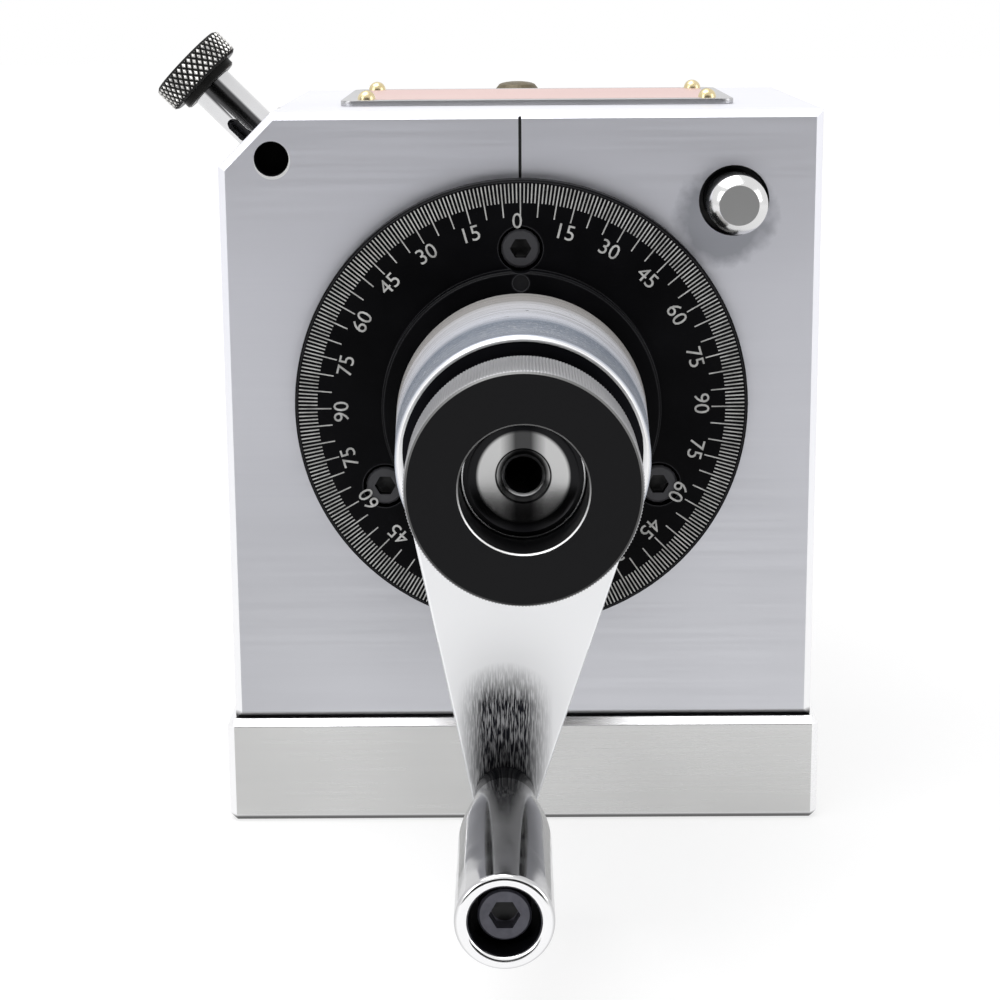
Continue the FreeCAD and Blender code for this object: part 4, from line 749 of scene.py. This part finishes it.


# The dial's screws are rubbed grey on top; lower down, in the counterbores, they are black with painted shade
rubbed_screws, tree, surface, _ = variant(screw_black, "rubbed_screws")
axes = own_axes(tree)
on_top = below(axes[1], BODY_FRONT - (SINK_FLOOR + M4[3] - 0.5) * MM)
topped = blend(on_top, (0.001, 0.001, 0.001), (0.055, 0.055, 0.06))
feed(surface, Base_Color=topped)
DIAGONALS = (45, 135, 225, 315)
YOKE_Y = 106.1
for name, size, places, finish, body, source in (
        ("dial_cap_screws", M4, round_the_axis(SINK_CIRCLE, -HALF_DEPTH - SINK_FLOOR, SCREW_TURNS, -1),
         rubbed_screws, "spindle_group", "dial_screws"),
        ("bush_cap_screws", M4, round_the_axis(25.5, HALF_DEPTH - 4, DIAGONALS, 1), screw_black, "housing",
         "bush_screws"),
        ("slide_cap_screws", M4, round_the_axis(29, SLIDE_FACE - 13, DIAGONALS, 1), screw_black,
         "spindle_group", "slide_base_screws"),
        ("yoke_cap_screws", (2.0, 8.0, 3.5, 4.0),
         [((side * 19.8, YOKE_Y + step, 70.0), (side, 0, 0)) for side in (1, -1) for step in (-4, 4)],
         screw_black, "v_slide", "yoke_screws"),
        ("bracket_cap_screws", (2.0, 12.8, 3.5, 4.0),
         [((side * 14, NOSE_BACK + 6, 35.2), (0, 0, -1)) for side in (-1, 1)],
         screw_black, "spindle_group", "bracket_screws"),
        ("base_cap_screws", M6,
         [((across * 42, deep * 31, 6.8), (0, 0, -1)) for across in (-1, 1) for deep in (-1, 1)],
         screw_black, "housing", "base_screws")):
    screw = cap_screw(*size)
    fit(set_screws(name, screw, places, finish), None, body, "screw_black", source)
    drop(screw)
# Near-black paint for the dog screw at the foot of the access hole: painted shade of the deep hole
deep_black, tree, surface = new_finish("deep_black", (0.001, 0.001, 0.001), 0.7, 0.0, specular=0.03)
grit = noise(tree, 900.0, 2.0)
feed(surface, Roughness=ranged(grit, 0.3, 0.7, 0.6, 0.8))
for name, finish in (("dial_set_screw", screw_black), ("gib_screws", screw_black), ("dog_screw", deep_black)):
    paint(name, finish)


# Crank
# Hub and tapering arm are one casting, turned, brushed and plated. It sits on the spindle's front
# end over a key, and the knurled nut holds it there.

ARM_BACK = 42.8
ARM_FACE = 53.8
ARM_ROOT = 19.75
ARM_TIP = 5.5
THROW = 55.6
LEAN = math.radians(3.3)
GRIP_X = -THROW * math.sin(LEAN)
GRIP_Z = -THROW * math.cos(LEAN)
hub = turned("crank_arm",
             [(HUB_BACK, 12.02), (HUB_BACK, 21.0), (HUB_BACK + 0.15, 21.4), (HUB_BACK + 0.75, 21.95),
              (HUB_BACK + 1.2, 22), (ARM_FACE - 1.0, 20.54), (ARM_FACE - 0.7, 20.4), (ARM_FACE - 0.15, 19.9),
              (ARM_FACE, 19.5), (ARM_FACE, 12.02)], 160, hollow=True)
slant = math.asin((ARM_ROOT - ARM_TIP) / THROW)
outline = []
for centre, radius, start, stop, parts in (((0, 0), ARM_ROOT, math.pi + slant, -slant, 40),
                                           ((GRIP_X, GRIP_Z), ARM_TIP, -slant, slant - math.pi, 24)):
    for i in range(parts + 1):
        angle = start + (stop - start) * i / parts - LEAN
        outline.append((centre[0] + radius * math.cos(angle), centre[1] + radius * math.sin(angle)))
arm = prism("arm", outline, ARM_BACK, ARM_FACE, SPINDLE_FRONT)
round_edges(arm, 0.45, 3)
combine(hub, arm, "UNION")
hole = turned("hole", [(HUB_BACK - 1, 0), (HUB_BACK - 1, 12.02), (ARM_FACE + 1, 12.02), (ARM_FACE + 1, 0)],
              96)
combine(hub, hole, "DIFFERENCE")
smooth(hub, 25)
hold_flats(hub)

# Turning rings show on the hub, brush strokes run down the arm's face, and a few chips are black
crank_chrome, tree, surface = new_finish("plated_crank", (0.84, 0.85, 0.87), 0.12)
spot = node(tree, "ShaderNodeTexCoord")
axes = own_axes(tree)
facing = own_axes(tree, "Normal")
on_face = above(size_of(facing[1]), 0.8)
RING_LINES = 5200.0
ring_place = node(tree, "ShaderNodeCombineXYZ", {1: times(axes[1], RING_LINES)})
rings = noise(tree, 1.0, 2.0, ring_place.outputs[0])
stroke_place = node(tree, "ShaderNodeCombineXYZ", {0: times(axes[0], 4200.0), 2: times(axes[2], 420.0)})
strokes = noise(tree, 1.0, 3.0, stroke_place.outputs[0])
marks = node(tree, "ShaderNodeMix", {0: on_face, 2: rings, 3: strokes})
# Above the grip the arm's face carries a painted reflection of the grip, dark and streaked, and the strokes
# show in it
off_middle = size_of(plus(axes[0], 3.2 * MM))
reflection_top = plus(axes[2], times(math_node("POWER", off_middle, 2.0), 60.0))
painted_grip_reflection = times(ranged(off_middle, 3.4 * MM, 8.0 * MM, 1.0, 0.0),
              ranged(reflection_top, 40.8 * MM, 47.0 * MM, 1.0, 0.0))
painted_grip_reflection = times(painted_grip_reflection, below(facing[1], -0.8))
depth = node(tree, "ShaderNodeMix", {0: on_face, 2: 0.45, 3: times(painted_grip_reflection, 0.2)}).outputs[0]
bump = node(tree, "ShaderNodeBump", {"Height": marks.outputs[0], "Strength": depth, "Distance": 0.08 * MM})
feed(surface, Normal=bump.outputs[0])
streaky = ranged(times(strokes, painted_grip_reflection), 0.4, 0.6, 0.34, 0.42)
turned_way = ranged(rings, 0.3, 0.7, 0.22, 0.36)
feed(surface, Roughness=node(tree, "ShaderNodeMix", {0: on_face, 2: turned_way, 3: streaky}).outputs[0])
# Painted reflections in bands round the hub: the middle is duller and bluish, the back part a little brown,
# and both rims carry a painted highlight
reach = ranged(axes[1], BODY_FRONT - HUB_BACK * MM, BODY_FRONT - ARM_FACE * MM, 0.0, 1.0)
painted_reflection_bands = node(tree, "ShaderNodeValToRGB", {0: reach})
stops = painted_reflection_bands.color_ramp
for share, colour in ((0.04, (0.50, 0.48, 0.46)), (0.20, (0.58, 0.56, 0.55)), (0.28, (0.93, 0.93, 0.97)),
                      (0.56, (0.90, 0.92, 1.0)), (0.68, (0.36, 0.41, 0.50)), (0.90, (0.46, 0.50, 0.58)),
                      (0.982, (0.42, 0.45, 0.52)), (0.99, (0.95, 0.95, 0.96))):
    stops.elements.new(share).color = (*colour, 1)
stops.elements[0].color = (0.95, 0.95, 0.95, 1)
stops.elements[len(stops.elements) - 1].color = (0.95, 0.95, 0.96, 1)
chips = noise(tree, 650.0, 2.0)
chipped = above(chips, 0.735)
near_middle = below(size_of(minus(reach, 0.45)), 0.14)
# Painted glints in the bluish band
painted_glints = ranged(noise(tree, 1800.0, 1.0), 0.56, 0.68, 0.0, 0.7)
in_band = below(size_of(minus(reach, 0.80)), 0.12)
banded = blend(times(painted_glints, in_band), painted_reflection_bands.outputs[0], (0.85, 0.87, 0.90))
# Wisps run round the hub behind the blue band
around = node(tree, "ShaderNodeVectorMath", {0: spot.outputs["Object"], 1: (22.0, 950.0, 22.0)},
              operation="MULTIPLY")
wisps = noise(tree, 1.0, 3.0, around.outputs[0])
behind_band = ranged(reach, 0.56, 0.66, 0.5, 0.0)
wispy = times(ranged(wisps, 0.42, 0.70, 0.0, 1.0), behind_band)
banded = blend(wispy, banded, (0.33, 0.32, 0.32))
on_arm = ranged(distance_in_face(axes, (0.0, 80.0 * MM)), 22.2 * MM, 25.0 * MM, 0.0, 1.0)
banded = blend(on_arm, banded, (0.62, 0.63, 0.65))
clean_face = blend(on_face, banded, (0.92, 0.925, 0.94))
# The painted reflection is broken up by the strokes, less so low down near the grip
reflection_streak_share = ranged(axes[2], 32.0 * MM, 46.0 * MM, 0.66, 0.34)
reflection_dark = times(painted_grip_reflection, ranged(strokes, 0.46, 0.60, 1.0, reflection_streak_share))
plated = blend(reflection_dark, clean_face, (0.015, 0.015, 0.02))
# Under the nut the face is black with painted shade
nut_shade = ranged(axes[2], 72.0 * MM, 84.0 * MM, 18.4 * MM, 19.5 * MM)
painted_shade_under_nut = below(distance_in_face(axes, (0.0, 80.0 * MM)), nut_shade)
black = plus(times(chipped, near_middle), times(painted_shade_under_nut, on_face), clamp=True)
feed(surface, Base_Color=blend(black, plated, (0.012, 0.012, 0.015)))
hub_metal = ranged(reach, 0.56, 0.68, 0.2, 0.45)
feed(surface, Metallic=node(tree, "ShaderNodeMix", {0: on_face, 2: hub_metal, 3: 1.0}).outputs[0])
fit(hub, crank_chrome, "spindle_group", "chrome", "crank")


# Knurled nut, washer and spindle
# The nut is turned steel with a straight knurl and a blackened face, screwed on the spindle's
# hollow front end against a black washer. The spindle is one ground and polished steel piece.

NUT_BACK = 59.3
NUT_FRONT = 74.3
NUT_RADIUS = 18.36
NUT_BORE = 9.92
KNURLS = 220
nut_rim = milled(NUT_RADIUS, 0.14, KNURLS)
nut = turned("round_nut",
             [(NUT_BACK, NUT_BORE), (NUT_BACK, NUT_RADIUS - 1.1), (NUT_BACK + 0.5, NUT_RADIUS - 0.5),
              (NUT_BACK + 0.9, nut_rim), (NUT_FRONT - 0.7, nut_rim), (NUT_FRONT - 0.45, NUT_RADIUS - 0.2),
              (NUT_FRONT, NUT_RADIUS - 0.6), (NUT_FRONT, NUT_BORE + 0.3), (NUT_FRONT - 0.3, NUT_BORE)],
             KNURLS * 4, hollow=True)
smooth(nut, 25)
nut_steel, tree, surface = new_finish("knurled_steel", (0.62, 0.62, 0.62), 0.28, specular=0.12)
axes = own_axes(tree)
from_axis = distance_in_face(axes, (0.0, 80.0 * MM))
inside = below(from_axis, (NUT_RADIUS - 0.5) * MM)
outside = above(from_axis, (NUT_BORE + 0.28) * MM)
forward = below(axes[1], BODY_FRONT - (NUT_FRONT - 0.05) * MM)
dark_face = times(forward, times(inside, outside))
clouds = noise(tree, 120.0, 4.0)
silver = blend(clouds, (0.27, 0.27, 0.28), (0.40, 0.40, 0.41))
# Painted light: the bore's broken edge gets a painted highlight, most of all at its foot, and the front edge
# is painted darker below and lighter above
at_bore = below(from_axis, (NUT_BORE + 0.7) * MM)
foot = ranged(axes[2], 73.0 * MM, 82.0 * MM, 0.95, 0.10)
at_front = below(axes[1], BODY_FRONT - (NUT_FRONT - 0.40) * MM)
painted_edge_light = ranged(axes[2], 66.0 * MM, 92.0 * MM, 0.02, 0.18)
front_edge_light = node(tree, "ShaderNodeCombineColor", {0: painted_edge_light, 1: painted_edge_light, 2: painted_edge_light})
silver = blend(at_front, silver, front_edge_light.outputs[0])
silver = blend(times(at_bore, foot), silver, (1.0, 1.0, 1.0))
# The face is blackened, and the bore gets black painted shade
black_and_shade = larger(dark_face, below(from_axis, (NUT_BORE + 0.05) * MM))
feed(surface, Base_Color=blend(black_and_shade, silver, (0.008, 0.008, 0.009)))
feed(surface, Metallic=ranged(black_and_shade, 0.0, 1.0, 0.6, 0.0))
feed(surface, Roughness=ranged(black_and_shade, 0.0, 1.0, 0.40, 0.45))
fit(nut, nut_steel, "spindle_group", "chrome", "knurled_nut")

washer = turned("nut_washer",
                [(ARM_FACE, NUT_BORE), (ARM_FACE, 14.3), (ARM_FACE + 0.2, 14.5), (NUT_BACK - 0.2, 14.5),
                 (NUT_BACK, 14.3), (NUT_BACK, NUT_BORE)], 96, hollow=True)
smooth(washer)
fit(washer, dial_black, "spindle_group", "black_oxide", "crank_washer")

# The spindle's end is 65 in front of the face, and its nose 96.1 to 86.1 behind it
spindle = turned("main_spindle",
                 [(62.7, 2.8), (-99.1, 2.8), (-99.1, 12), (-96.1, 12), (-96.1, 35.6), (-95.7, 36),
                  (-86.5, 36), (-86.1, 35.6), (-86.1, 17), (-22, 17), (-22, 16), (14.15, 16), (14.15, 12),
                  (52.8, 12), (52.8, 9.9), (64.7, 9.9), (65, 9.6), (65, 8.7), (64.75, 8.3), (64.2, 6.6),
                  (63.9, 4.4), (63.6, 4.15), (63.3, 3.4), (63, 2.95)], 128, hollow=True)
smooth(spindle, 25)
bright_steel, tree, surface = new_finish("polished_spindle_steel", (0.70, 0.70, 0.71), 0.18)
marks = use_group(tree, grinding, Lines_per_metre=2600.0, Cloud_size=60.0)
edges = use_group(tree, edge_wear_and_highlight)
cloudy = ranged(marks.outputs["Clouds"], 0.3, 0.7, 0.0, 1.0)
bare = blend(cloudy, (0.60, 0.60, 0.61), (0.76, 0.76, 0.77))
rim = times(edges.outputs["Mask"], 0.4)
bright = blend(rim, bare, (0.9, 0.9, 0.9))
feed(surface, Base_Color=bright)
feed(surface, Roughness=ranged(marks.outputs["Clouds"], 0.3, 0.7, 0.14, 0.26))
raise_marks(surface, marks.outputs["Lines"], 0.08, 0.02 * MM)
# The same steel with old oil and painted shade in the dish, painted reflections brighter at both sides, and a
# painted highlight ring round the hole
spindle_steel, tree, surface, bright = variant(bright_steel, "oily_spindle_steel")
axes = own_axes(tree)
from_axis = distance_in_face(axes, (0.0, 80.0 * MM))
in_dish = below(axes[1], BODY_FRONT - 62.6 * MM)
in_dish = times(in_dish, below(from_axis, 9.4 * MM))
sideways = size_of(axes[0])
wiped = times(ranged(from_axis, 3.4 * MM, 4.6 * MM, 0.05, 1.0),
              ranged(from_axis, 6.9 * MM, 7.4 * MM, 1.0, 0.02))
wiped = times(wiped, ranged(sideways, 1.2 * MM, 3.6 * MM, 0.1, 1.0))
dish_oil_and_light = blend(wiped, (0.006, 0.006, 0.007), (0.50, 0.50, 0.50))
at_hole = below(from_axis, 3.35 * MM)
dish_oil_and_light = blend(at_hole, dish_oil_and_light, (0.55, 0.55, 0.56))
feed(surface, Base_Color=blend(in_dish, bright, dish_oil_and_light))
fit(spindle, spindle_steel, "spindle_group", "polished_steel", "spindle")


# Grip
# A plated sleeve that spins on a shoulder screw in the end of the arm. The screw's head is sunk in
# the grip's open end.

GRIP_ROOT = 54.2
GRIP_END = 108.0
GRIP_PLACE = SPINDLE_FRONT @ Matrix.Translation((GRIP_X * MM, GRIP_Z * MM, 0))
GRIP_NECK = 4.8
GRIP_FULL = 7.25
GRIP_BORE = 5.2
FLARE_START = 55.0
FLARE_END = 77.0
profile = [(GRIP_ROOT, 3.03), (GRIP_ROOT, GRIP_NECK - 0.3), (GRIP_ROOT + 0.3, GRIP_NECK)]
for i in range(15):
    share = i / 14
    eased = (1 - math.cos(math.pi * share)) / 2
    profile.append((FLARE_START + (FLARE_END - FLARE_START) * share,
                    GRIP_NECK + (GRIP_FULL - GRIP_NECK) * eased))
RIM = 0.92
for i in range(7):
    angle = math.radians(90 * i / 6)
    profile.append((GRIP_END - RIM * (1 - math.sin(angle)), GRIP_FULL - RIM * (1 - math.cos(angle))))
for i in range(1, 7):
    angle = math.radians(90 * i / 6)
    profile.append((GRIP_END - RIM * (1 - math.cos(angle)), GRIP_BORE + RIM * (1 - math.sin(angle))))
profile += [(99.9, GRIP_BORE), (99.9, 3.03)]
grip = turned("grip_sleeve", profile, 96, GRIP_PLACE, hollow=True)
smooth(grip, 40)
# Bright plating is a slightly uneven mirror with wiping marks
grip_chrome, tree, surface = new_finish("plated_grip", (0.56, 0.56, 0.57), 0.12, specular=0.1)
wiped = node(tree, "ShaderNodeTexNoise",
             {"Vector": node(tree, "ShaderNodeTexCoord").outputs["Object"], "Scale": 160.0, "Detail": 4.0,
              "Distortion": 1.2})
feed(surface, Roughness=ranged(wiped.outputs[0], 0.3, 0.7, 0.072, 0.216))
raise_marks(surface, noise(tree, 90.0, 1.0), 0.06, 0.3 * MM)
axes = own_axes(tree)
from_axis = distance_in_face(axes, (GRIP_X * MM, (80 + GRIP_Z) * MM))
# A painted highlight on the rounded outer rim of the open end
rim = below(axes[1], BODY_FRONT - (GRIP_END - 0.9) * MM)
rim = times(rim, ranged(from_axis, 6.75 * MM, 7.1 * MM, 1.0, 0.0))
# Painted shade at the root beside the arm; inside the bore, dirt and painted shade
root = above(axes[1], BODY_FRONT - (GRIP_ROOT + 2.4) * MM)
within = below(from_axis, (GRIP_BORE + 0.06) * MM)
with_rim_highlight = blend(rim, (0.56, 0.56, 0.57), (0.88, 0.88, 0.89))
dirt_and_shade = larger(root, within)
feed(surface, Base_Color=blend(dirt_and_shade, with_rim_highlight, (0.004, 0.004, 0.005)))
feed(surface, Metallic=minus(1.0, dirt_and_shade))
fit(grip, grip_chrome, "grip_sleeve", "chrome", "grip")

axle = turned("grip_shoulder_screw",
              [(44.8, 0), (44.8, 2.2), (45.1, 2.5), (53.8, 2.5), (53.8, 3), (100, 3), (100, 3.9),
               (104.7, 3.9), (105, 3.6), (105, hexagon(4.0)), (102.3, hexagon(4.0)), (101.6, 0)], 48,
              GRIP_PLACE)
smooth(axle, 25)
axle_steel, tree, surface = new_finish("shoulder_screw_steel", (0.08, 0.08, 0.10), 0.36, 0.3)
axes = own_axes(tree)
from_axis = distance_in_face(axes, (GRIP_X * MM, (80 + GRIP_Z) * MM))
# Painted shade inside the hex socket
in_socket = below(from_axis, 1.95 * MM)
scuffs = noise(tree, 700.0, 3.0)
worn = blend(scuffs, (0.05, 0.05, 0.065), (0.14, 0.14, 0.17))
feed(surface, Base_Color=blend(in_socket, worn, (0.004, 0.004, 0.005)))
fit(axle, axle_steel, "spindle_group", "screw_black", "grip_axle")


# Index plunger
# A spring plunger square to the cut corner: a diamond-knurled knob on a polished sleeve whose cam
# slot rides on a screw's point, so that a pull turns it and it stays out.

PLUNGER_PLACE = Matrix.Translation((0, -27 * MM, 80 * MM)) @ Matrix.Rotation(math.radians(-45), 4, "Y")
CUT = 68.448
NECK = 11.4
KNOB_RADIUS = 7.9
KNURL_COUNT = 38
KNURL_DEPTH = 0.42
knob_low = CUT + NECK + 1.4
knob_top = knob_low + 5.1


def diamond(radius, height):
    """Radius of a diamond knurl at an angle, for one height."""
    lift = height * 0.62

    def at(angle):
        turns = angle * KNURL_COUNT / (2 * math.pi)
        one = abs(2 * ((turns + lift) % 1) - 1)
        two = abs(2 * ((turns - lift) % 1) - 1)
        return radius - KNURL_DEPTH * max(one, two)
    return at


profile = [(CUT + NECK, 0), (CUT + NECK, 5.4), (CUT + NECK + 0.3, 5.75), (knob_low, 5.75),
           (knob_low, KNOB_RADIUS - 0.8)]
ROWS = 30
for i in range(ROWS + 1):
    height = knob_low + 0.45 + (5.1 - 0.9) * i / ROWS
    profile.append((height, diamond(KNOB_RADIUS, height)))
profile += [(knob_top, KNOB_RADIUS - 0.8), (knob_top, 0)]
knob = turned("pull_knob", profile, KNURL_COUNT * 6, PLUNGER_PLACE)
smooth(knob, 20)
knob_steel, tree, surface = new_finish("knurled_knob_steel", (0.60, 0.59, 0.57), 0.24, specular=0.03)
spot = node(tree, "ShaderNodeTexCoord")
clouds = noise(tree, 300.0, 4.0)
# The knurl's valleys and the step under it are black
off_axis = node(tree, "ShaderNodeVectorMath", {0: spot.outputs["Object"], 1: (0, -27 * MM, 80 * MM)},
                operation="SUBTRACT")
outward = node(tree, "ShaderNodeVectorMath",
               {0: off_axis.outputs[0], 1: (-math.sqrt(0.5), 0, math.sqrt(0.5))}, operation="DOT_PRODUCT")
length = node(tree, "ShaderNodeVectorMath", {0: off_axis.outputs[0]}, operation="LENGTH")
squared = minus(math_node("POWER", length.outputs["Value"], 2.0),
                math_node("POWER", outward.outputs["Value"], 2.0))
radius = math_node("SQRT", squared)
valley = ranged(radius, (KNOB_RADIUS - 0.30) * MM, (KNOB_RADIUS - 0.14) * MM, 0.98, 0.0)
steel = blend(clouds, (0.62, 0.61, 0.59), (0.84, 0.83, 0.81))
feed(surface, Base_Color=blend(valley, steel, (0.003, 0.003, 0.003)))
feed(surface, Metallic=minus(1.0, valley))
feed(surface, Roughness=ranged(clouds, 0.3, 0.7, 0.18, 0.34))
fit(knob, knob_steel, "plunger_turn", "polished_steel", "plunger_knob")
# The neck gets a painted reflection of the dark side of the room wherever it faces the eye
neck_steel, tree, surface, bright = variant(bright_steel, "mirror_neck_steel")
painted_dark_reflection = ranged(node(tree, "ShaderNodeLayerWeight").outputs["Facing"], 0.08, 0.13, 0.93, 0.0)
feed(surface, Base_Color=blend(painted_dark_reflection, bright, (0.03, 0.03, 0.032)))
fit(from_solid("plunger_neck", "plunger_sleeve", 0.1), neck_steel, "plunger_turn", "polished_steel",
    "plunger_sleeve")
paint("plunger_pin", screw_black)
paint("plunger_bush", bright_steel)


# Stop pin
# A hardened and polished pin pressed into the body, in a wider hole that shows as a black ring of painted
# shade.

pin_place = Matrix.Translation((PIN_SPOT[0], BODY_FRONT, PIN_SPOT[1])) @ Matrix.Rotation(math.radians(90), 4,
                                                                                         "X")
pin = turned("polished_pin",
             [(-20, 0), (-20, 5.0), (0.4, 5.0), (0.4, 5.2), (8.3, 5.2), (8.5, 5.1), (9.9, 3.7), (10, 3.5),
              (10, 0)], 64, pin_place)
smooth(pin, 25)
pin_steel, tree, surface = new_finish("turned_pin_steel", (0.62, 0.62, 0.63), 0.22)
axes = own_axes(tree)
facing = own_axes(tree, "Normal")
at_end = below(facing[1], -0.9)
feed(surface, Roughness=ranged(at_end, 0.0, 1.0, 0.16, 0.40))
from_axis = distance_in_face(axes, PIN_SPOT)
turning = node(tree, "ShaderNodeTexNoise", {"W": times(from_axis, 6000.0), "Scale": 1.0},
               noise_dimensions="1D")
feed(surface, Base_Color=blend(at_end, (0.70, 0.70, 0.70), (0.40, 0.40, 0.40)))
raise_marks(surface, turning.outputs[0], 0.3, 0.01 * MM)
fit(pin, pin_steel, "housing", "polished_steel", "stop_pin")


# Nameplate
# A bare aluminium plate with a faded red field, held on the top by four brass round-head screws.

plate_metal, tree, surface = new_finish("plate_aluminium", (0.42, 0.42, 0.43), 0.36)
marks = use_group(tree, grinding, Lines_per_metre=3000.0, Cloud_size=30.0)
feed(surface, Base_Color=blend(marks.outputs["Clouds"], (0.38, 0.38, 0.39), (0.60, 0.60, 0.61)))
raise_marks(surface, marks.outputs["Lines"], 0.1, 0.02 * MM)
fit(from_solid("top_plate", "nameplate", 0.15), plate_metal, "housing", "plate", "nameplate")

PLATE_TOP = 133.4
PLATE_X = 3.3
FIELD = (33.2, 19.5, 2.0)


def rounded_panel(name, centre, half_x, half_y, corner, low, high):
    """A thin flat panel with rounded corners, lying on its back."""
    outline = []
    for k, (sx, sy) in enumerate(((1, 1), (-1, 1), (-1, -1), (1, -1))):
        for i in range(7):
            angle = math.radians(90 * k + 15 * i)
            outline.append((centre[0] + sx * (half_x - corner) + corner * math.cos(angle),
                            centre[1] + sy * (half_y - corner) + corner * math.sin(angle)))
    return prism(name, outline, low, high)


field_red, tree, surface = new_finish("faded_red_enamel", (0.35, 0.09, 0.08), 0.4, 0.0)
fade = noise(tree, 45.0, 5.0)
feed(surface, Base_Color=blend(fade, (0.62, 0.33, 0.31), (0.80, 0.66, 0.62)))
feed(surface, Roughness=ranged(fade, 0.3, 0.7, 0.32, 0.55))
field = rounded_panel("plate_field", (PLATE_X, 0), FIELD[0], FIELD[1], FIELD[2], PLATE_TOP - 0.1,
                      PLATE_TOP + 0.05)
round_edges(field, 0.04, 1)
fit(field, field_red, "housing", "plate")

brass, tree, surface = new_finish("plain_brass", (0.75, 0.64, 0.38), 0.25)
tarnish = noise(tree, 500.0, 4.0)
feed(surface, Base_Color=blend(tarnish, (0.55, 0.42, 0.20), (0.88, 0.78, 0.52)))
feed(surface, Roughness=ranged(tarnish, 0.3, 0.7, 0.18, 0.4))
HEAD = 1.7
dome = [(HEAD * math.sin(math.radians(15 * i)), HEAD * math.cos(math.radians(15 * i))) for i in range(6)]
round_head = turned("round_head", [(-6, 0), (-6, 0.7), (-5.8, 0.9), (0, 0.9)] + dome + [(HEAD, 0)], 32,
                    Matrix())
driver = rounded_panel("driver_slot", (0, 0), 2.4, 0.2, 0.05, 1.05, 3.0)
combine(round_head, driver, "DIFFERENCE")
smooth(round_head, 30)
places = [((PLATE_X + across * 31.9, along * 18.3, PLATE_TOP), (0, 0, 1)) for across in (-1, 1)
          for along in (-1, 1)]
fit(set_screws("plate_round_screws", round_head, places, brass), None, "housing", "brass", "nameplate_screws")
drop(round_head)


# Work side
# A slide base on the spindle's nose, with a dovetail slide that carries the V-block. All are ground
# steel. A clamp yoke bridges the V-block, and a screw from below sets the slide's height.

work_steel, _, _, _ = ground_steel("ground_work_steel", (0.56, 0.565, 0.58), 0.30, lines=1800.0)
# The yoke's edges are broken less, because its counterbores lie close to its foot
for name, source, body, edge in (("dovetail_base", "slide_base", "spindle_group", 0.2),
                                 ("gib_strip", "gib", "spindle_group", 0.25),
                                 ("adjuster_bracket", "screw_bracket", "spindle_group", 0.25),
                                 ("v_slide_block", "v_block", "v_slide", 0.25),
                                 ("clamp_bridge", "clamp_yoke", "v_slide", 0.08)):
    fit(from_solid(name, source, edge), work_steel, body, "ground_work", source)
fit(from_solid("height_screw", "adjust_screw", 0.2), screw_black, "adjuster", "screw_black", "adjust_screw")

bronze, tree, surface = new_finish("cast_bronze", (0.50, 0.33, 0.16), 0.32)
cast = noise(tree, 260.0, 4.0)
feed(surface, Base_Color=blend(cast, (0.36, 0.22, 0.10), (0.62, 0.43, 0.22)))
feed(surface, Roughness=ranged(cast, 0.3, 0.7, 0.25, 0.45))
fit(from_solid("brass_pad", "clamp_pad", 0.3), bronze, "clamp", "bronze", "clamp_pad")

olive, tree, surface = new_finish("olive_finish", (0.13, 0.105, 0.06), 0.42, 0.3)
cast = noise(tree, 300.0, 4.0)
edges = use_group(tree, edge_wear_and_highlight, Width=0.3 * MM, Patchiness=250.0)
aged = blend(cast, (0.085, 0.07, 0.04), (0.18, 0.145, 0.085))
rim = times(edges.outputs["Mask"], 0.5)
feed(surface, Base_Color=blend(rim, aged, (0.38, 0.34, 0.24)))
feed(surface, Roughness=ranged(cast, 0.3, 0.7, 0.32, 0.52))
clamp_rim = milled(5.0, 0.18, 30)
clamp_place = Matrix.Translation((0, YOKE_Y * MM, 80 * MM))
clamp_dome = [(50.3 + math.sin(math.radians(18 * i)), 4.5 * math.cos(math.radians(18 * i))) for i in range(5)]
clamp = turned("clamp_thumb_screw",
               [(8.5, 0), (8.5, 2.5), (9, 3), (45.3, 3), (45.3, 4.6), (45.7, clamp_rim),
                (49.7, clamp_rim)] + clamp_dome + [(51.3, 0)], 120, clamp_place)
smooth(clamp, 25)
fit(clamp, olive, "clamp", "olive", "clamp_screw")

for name, finish in (("front_bush", bronze), ("rear_bush", bronze), ("thrust_washer", bronze),
                     ("index_wheel", bright_steel), ("crank_key", bright_steel),
                     ("plunger_spring", bright_steel)):
    paint(name, finish)
